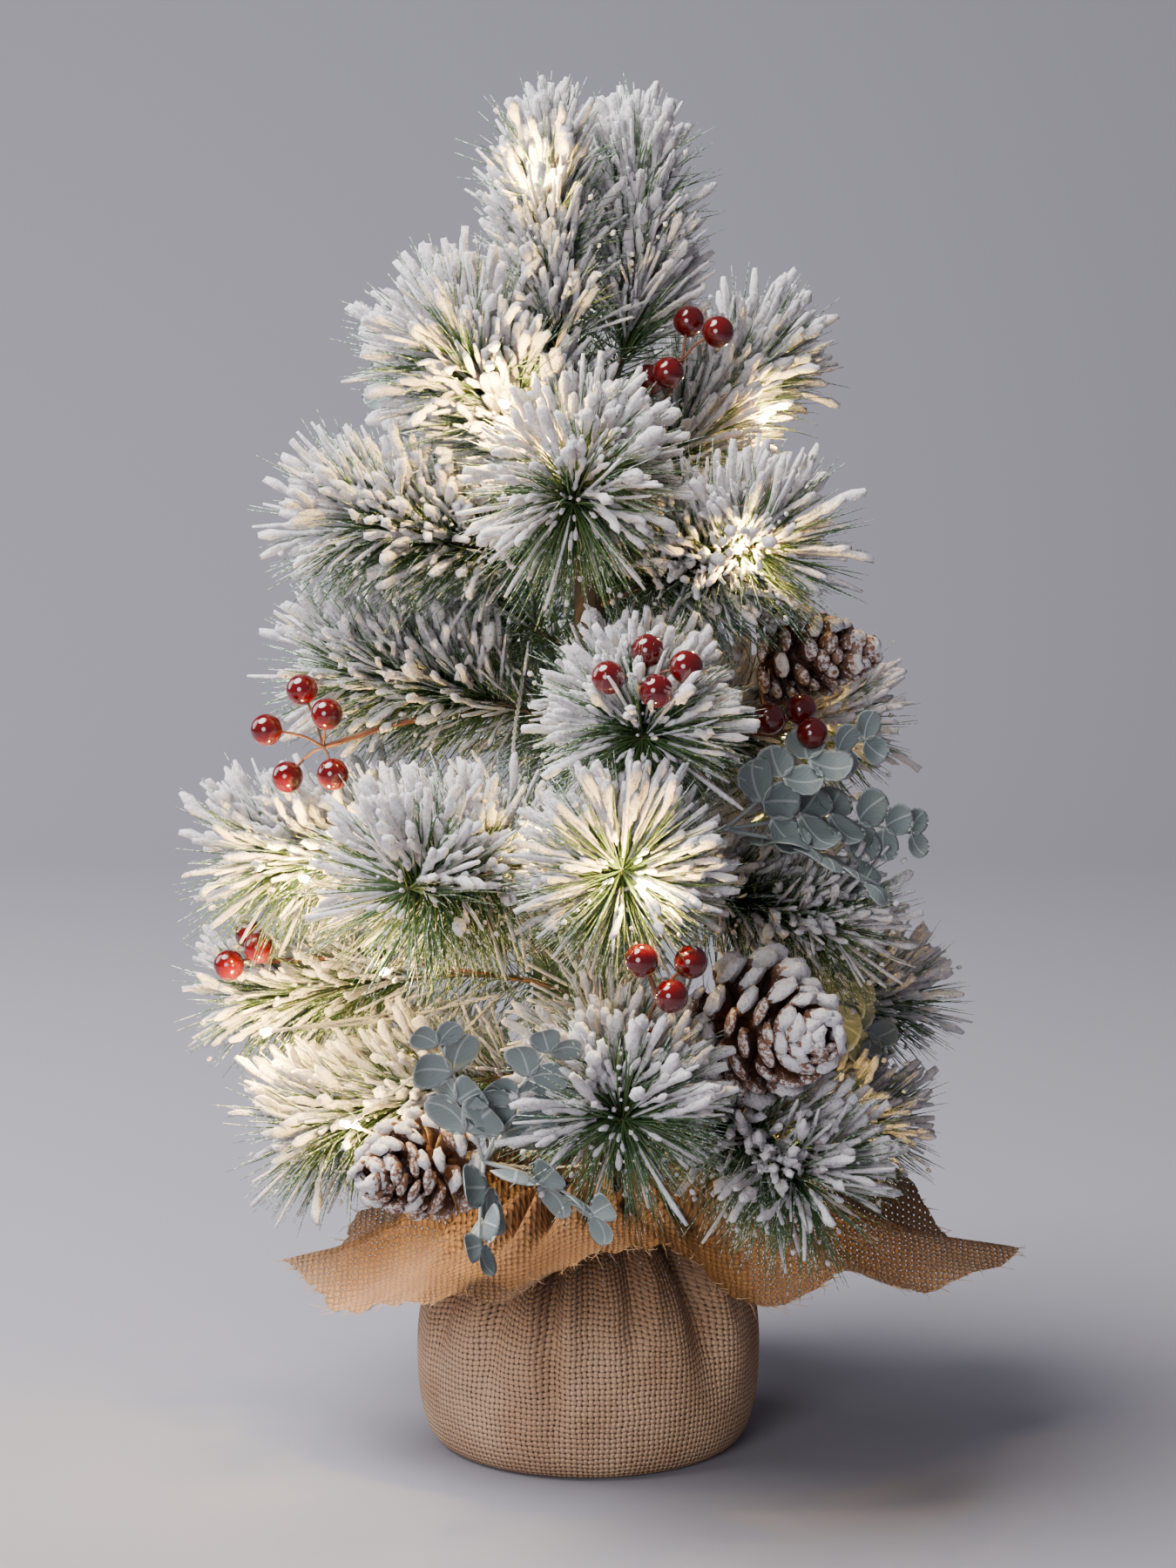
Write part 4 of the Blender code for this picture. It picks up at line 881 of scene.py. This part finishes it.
def leaf_pair_item():
    """Two round cupped leaves on short stalks, opposite each other across a stem."""
    steps, rows = 14, 5
    shells = []
    rims, asides = [], []
    for hand in (1, -1):
        verts, along, rim, aside = [], [], [], []
        for face in (1, -1):
            for row in range(rows + 1):
                if face == -1 and row == rows:
                    continue
                t = row / rows
                for step in range(steps if row else 1):
                    turn = TAU * step / steps
                    wide = t * math.sin(turn) * 0.47
                    up = 0.55 + t * math.cos(turn) * 0.5 - 0.05 * t * (math.cos(2 * turn))
                    cup = 0.16 * t * t - 0.02 + 0.05 * math.cos(2 * turn) * t * t
                    thick = 0.012 * face * (1 - t)
                    verts.append((hand * (0.80 * up - 0.60 * wide) * LEAF_LENGTH,
                                  -(cup + thick) * LEAF_LENGTH,
                                  (0.60 * up + 0.80 * wide) * LEAF_LENGTH))
                    along.append(up)
                    rim.append(t)
                    aside.append(wide * 2)
        faces = []
        for face, pole in ((1, 0), (-1, 1 + rows * steps)):
            rings = [pole + 1 + row * steps for row in range(rows)]
            rings[-1] = 1 + (rows - 1) * steps  # both faces share the rim
            for step in range(steps):
                after = (step + 1) % steps
                strip = [(pole, rings[0] + step, rings[0] + after)]
                strip += [(low + step, high + step, high + after, low + after)
                          for low, high in zip(rings, rings[1:])]
                faces += [corners[::face] for corners in strip]
        shells.append((np.array(verts), faces, np.array(along)))
        rims += rim
        asides += aside
        stalk = tube([(0, 0, 0), (hand * 0.06 * LEAF_LENGTH, 0, 0.09 * LEAF_LENGTH),
                      (hand * 0.13 * LEAF_LENGTH, 0, 0.16 * LEAF_LENGTH)], 0.5 * MM, 5)
        shells.append(stalk)
        rims += [0.0] * len(stalk[0])
        asides += [0.5] * len(stalk[0])
    made = template("leaf_pair_item", shells)
    for name, values in (("rim", rims), ("aside", asides)):
        made.data.attributes.new(name, "FLOAT", "POINT").data.foreach_set(
            "value", np.array(values, np.float32))
    fixed = bmesh.new()
    fixed.from_mesh(made.data)
    bmesh.ops.recalc_face_normals(fixed, faces=fixed.faces)
    fixed.to_mesh(made.data)
    fixed.free()
    return made


leaf_pair = leaf_pair_item()
for number, (name, (host, crotch, tips, body)) in enumerate(SPRIGS.items()):
    crotch = np.array(crotch) * MM
    foot = stems[host][2] if host else polar(-106, 10 * MM, 180 * MM)
    main = smooth_line((foot, foot * 0.5 + crotch * 0.5 + (0, 0, 3 * MM), crotch), 6)
    parts = []
    twigs = [tube(main, 1.2 * MM, 6)]
    for order, tip in enumerate(tips):
        tip = np.array(tip) * MM
        run = np.linalg.norm(tip - crotch)
        middle = (crotch + tip) / 2 + np.array((0, 0, 0.06 * run))
        line = smooth_line((crotch, middle, tip), 6)
        twigs.append(tube(line, np.linspace(1.0, 0.5, len(line)) * MM, 6))
        pairs = max(3, round(run / LEAF_SPACING))
        parts.append(set_on_stem("leaves", line, leaf_pair, leaf_skin, Count=pairs, Start=0.15, End=1.0,
                                 Turn_First=0.0 if tip[2] > crotch[2] - 20 * MM else TAU / 4, Turn=0.0,
                                 Turn_Jitter=0.75, Tilt_Root=0.0, Tilt_Tip=0.0,
                                 Tilt_Jitter=0.40, Size_Root=1.05, Size_Tip=0.5, Size_Jitter=0.12,
                                 Spin=0.25, Seed=950 + 10 * number + order))
    parts.insert(0, gathered("twigs", twigs, leaf_skin))
    sprig = joined(name + "_look", parts)
    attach(sprig, body)
    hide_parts(name)

# ---- light string
# Warm white micro lamps on a clear two-strand flex that winds up through the branches
# from the battery box. Each lamp hangs in a branch's tuft and goes with that branch.
FLEX_RADIUS = 0.55 * MM
FLEX_OFFSET = 0.62 * MM
FLEX_PITCH = 9 * MM
LAMP_POWER = 0.42
GLOW_AHEAD = 5 * MM
LOW_LAMP = 170 * MM  # lamps below this sit deeper in their tufts
LAMP_COLOUR = (1.0, 0.62, 0.15)
# branch, the flex's inner point before the lamp, the lamp (mm), its share of the power
LAMPS = (
    ("branch_low_back_right", (34, 25, 278), (84, 78, 262), 1.0),
    ("branch_bottom_back_right", (39, 19, 181), (84, 66, 160), 0.35),
    ("branch_bottom_right", (42, -1, 130), (108, -64, 152), 0.3),
    ("branch_bottom_front_right", (28, -31, 126), (84, -96, 152), 0.5),
    ("branch_bottom_left", (-22, -34, 129), (-102, -72, 158), 1.1),
    ("branch_lower_left", (-38, -13, 202), (-138, -34, 190), 2.0),
    ("branch_bottom_back_left", (-36, 26, 197), (-84, 66, 162), 0.7),
    ("branch_low_back_left", (-26, 36, 181), (-88, 76, 254), 1.0),
    ("branch_low_left", (-38, 24, 227), (-119, -64, 262), 3.0),
    ("branch_low_front_left", (-45, -14, 238), (-84, -102, 230), 0.8),
    ("branch_low_front", (-22, -43, 254), (21, -160, 276), 2.4),
    ("branch_middle_right", (20, -25, 271), (86, 10, 312), 1.2),
    ("branch_middle_back", (25, 21, 279), (-14, 96, 306), 1.0),
    ("branch_upper_back_left", (-16, 25, 307), (-66, 48, 366), 1.0),
    ("branch_middle_front", (-28, -10, 342), (-20, -118, 292), 0.5),
    ("branch_upper_right", (11, -25, 352), (62, -74, 402), 2.6),
    ("branch_crown_right", (26, -7, 399), (76, 20, 450), 1.2),
    ("branch_crown_left", (17, -16, 429), (-34, -76, 462), 3.0),
    ("branch_crown_front", (-15, -17, 431), (-14, -78, 444), 1.0),
    ("leader_left", (-3, -8, 477), (-19, -40, 552), 2.2),
)
LEAD = ((6, 16, 250), (7, 18, 268), (13, 20, 283))

flex_skin, tree, shader, where = new_material("clear_flex")
set_shader(tree, shader, Base_Color=(0.80, 0.76, 0.66, 1), Roughness=0.16, Transmission_Weight=0.55)

lamp_glass, tree, shader, where = new_material("lamp_glow")
set_shader(tree, shader, Base_Color=(1.0, 0.9, 0.7, 1), Roughness=0.3,
           Emission_Color=(1.0, 0.80, 0.46, 1), Emission_Strength=60.0)


def twisted_flex(knots):
    """Two clear strands twisted round each other along a smooth line."""
    line = smooth_line(knots, 14)
    steps = np.linalg.norm(np.diff(line, axis=0), axis=1)
    run = np.concatenate(([0], np.cumsum(steps)))
    way = np.gradient(line, axis=0)
    way /= np.linalg.norm(way, axis=1)[:, None]
    side = np.cross(way, (0.2, 0.3, 0.93))
    side /= np.linalg.norm(side, axis=1)[:, None]
    other = np.cross(way, side)
    strands = []
    for hand in (0, math.pi):
        turn = (TAU * run / FLEX_PITCH + hand)[:, None]
        strands.append(tube(line + FLEX_OFFSET * (side * np.cos(turn) + other * np.sin(turn)),
                            FLEX_RADIUS, 6))
    return strands


for number, (branch, inner, bulb, share) in enumerate(LAMPS):
    inner, bulb = np.array(inner) * MM, np.array(bulb) * MM
    after = np.array(LAMPS[number + 1][1]) * MM if number + 1 < len(LAMPS) else None
    outward = (bulb - inner) / np.linalg.norm(bulb - inner)
    aside = np.cross(outward, (0, 0, 1)) * 5 * MM
    knots = [inner, inner * 0.5 + bulb * 0.5 + aside * 1.6 - (0, 0, 5 * MM), bulb + aside * 0.3]
    shells = twisted_flex(knots)
    if after is not None:
        shells += twisted_flex([bulb - aside * 0.3, bulb * 0.5 + after * 0.5 - aside * 1.6, after])
    if number == 0:
        lead = gathered("flex_lead", twisted_flex([np.array(p) * MM for p in LEAD] + [inner]), flex_skin)
        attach(lead, "base")
    flex = gathered("flex_" + branch, shells, flex_skin)
    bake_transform(flex)
    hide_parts("light_string")
    low_down = bulb[2] < LOW_LAMP
    dome = gathered("lamp_" + branch, [ball(bulb + outward * t * MM, r * MM, 12, 8)
                                       for t, r in ((0.0, 1.7), (2.2, 1.4))], lamp_glass)
    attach(dome, branch + BODY)
    glow = bpy.data.lights.new("glow_" + branch, "POINT")
    glow.energy = LAMP_POWER * share
    glow.color = LAMP_COLOUR
    glow.shadow_soft_size = 3 * MM
    shine = link(bpy.data.objects.new("glow_" + branch, glow))
    shine.location = bulb + outward * (-GLOW_AHEAD if low_down else GLOW_AHEAD)
    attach(shine, branch + BODY)

# ---- trunk, pot, weight and battery box
# These keep the frame's shapes: a tape-wound pole, a black nursery pot with a plaster
# weight, a moulded box with its sliding cover, switch, three cells, contacts and strap.
# colour, roughness, metallic, relief (mm)
FRAME_FINISHES = {
    "twine": ((0.34, 0.21, 0.115), 0.95, 0.0, 1.2),
    "pot_plastic": ((0.02, 0.02, 0.022), 0.55, 0.0, 0.1),
    "cement": ((0.46, 0.45, 0.43), 0.95, 0.0, 0.6),
    "bark_tape": ((0.085, 0.055, 0.03), 0.8, 0.0, 0.5),
    "battery_case": ((0.035, 0.075, 0.045), 0.45, 0.0, 0.1),
    "cell": ((0.10, 0.11, 0.12), 0.35, 0.4, 0.0),
    "contact": ((0.62, 0.60, 0.56), 0.28, 1.0, 0.0),
    "strap": ((0.03, 0.03, 0.03), 0.6, 0.0, 0.1),
}
frame_materials = {}
for slot_name, (colour, rough, metal, relief_mm) in FRAME_FINISHES.items():
    made, tree, shader, where = new_material(slot_name + "_finish")
    mottle = noise(tree, where, 350.0, 3.0)
    light_tone = tuple(min(1.0, c * 1.25 + 0.004) for c in colour) + (1,)
    dark_tone = tuple(c * 0.75 for c in colour) + (1,)
    set_shader(tree, shader, Base_Color=mix(tree, mottle, dark_tone, light_tone), Roughness=rough,
               Metallic=metal)
    if relief_mm:
        bump(tree, shader, mottle, relief_mm * MM)
    frame_materials[slot_name] = made
for node in frame["nodes"].values():
    for place in node.material_slots:
        base_name = place.material.name.split(".")[0] if place.material else ""
        if base_name in frame_materials:
            place.material = frame_materials[base_name]
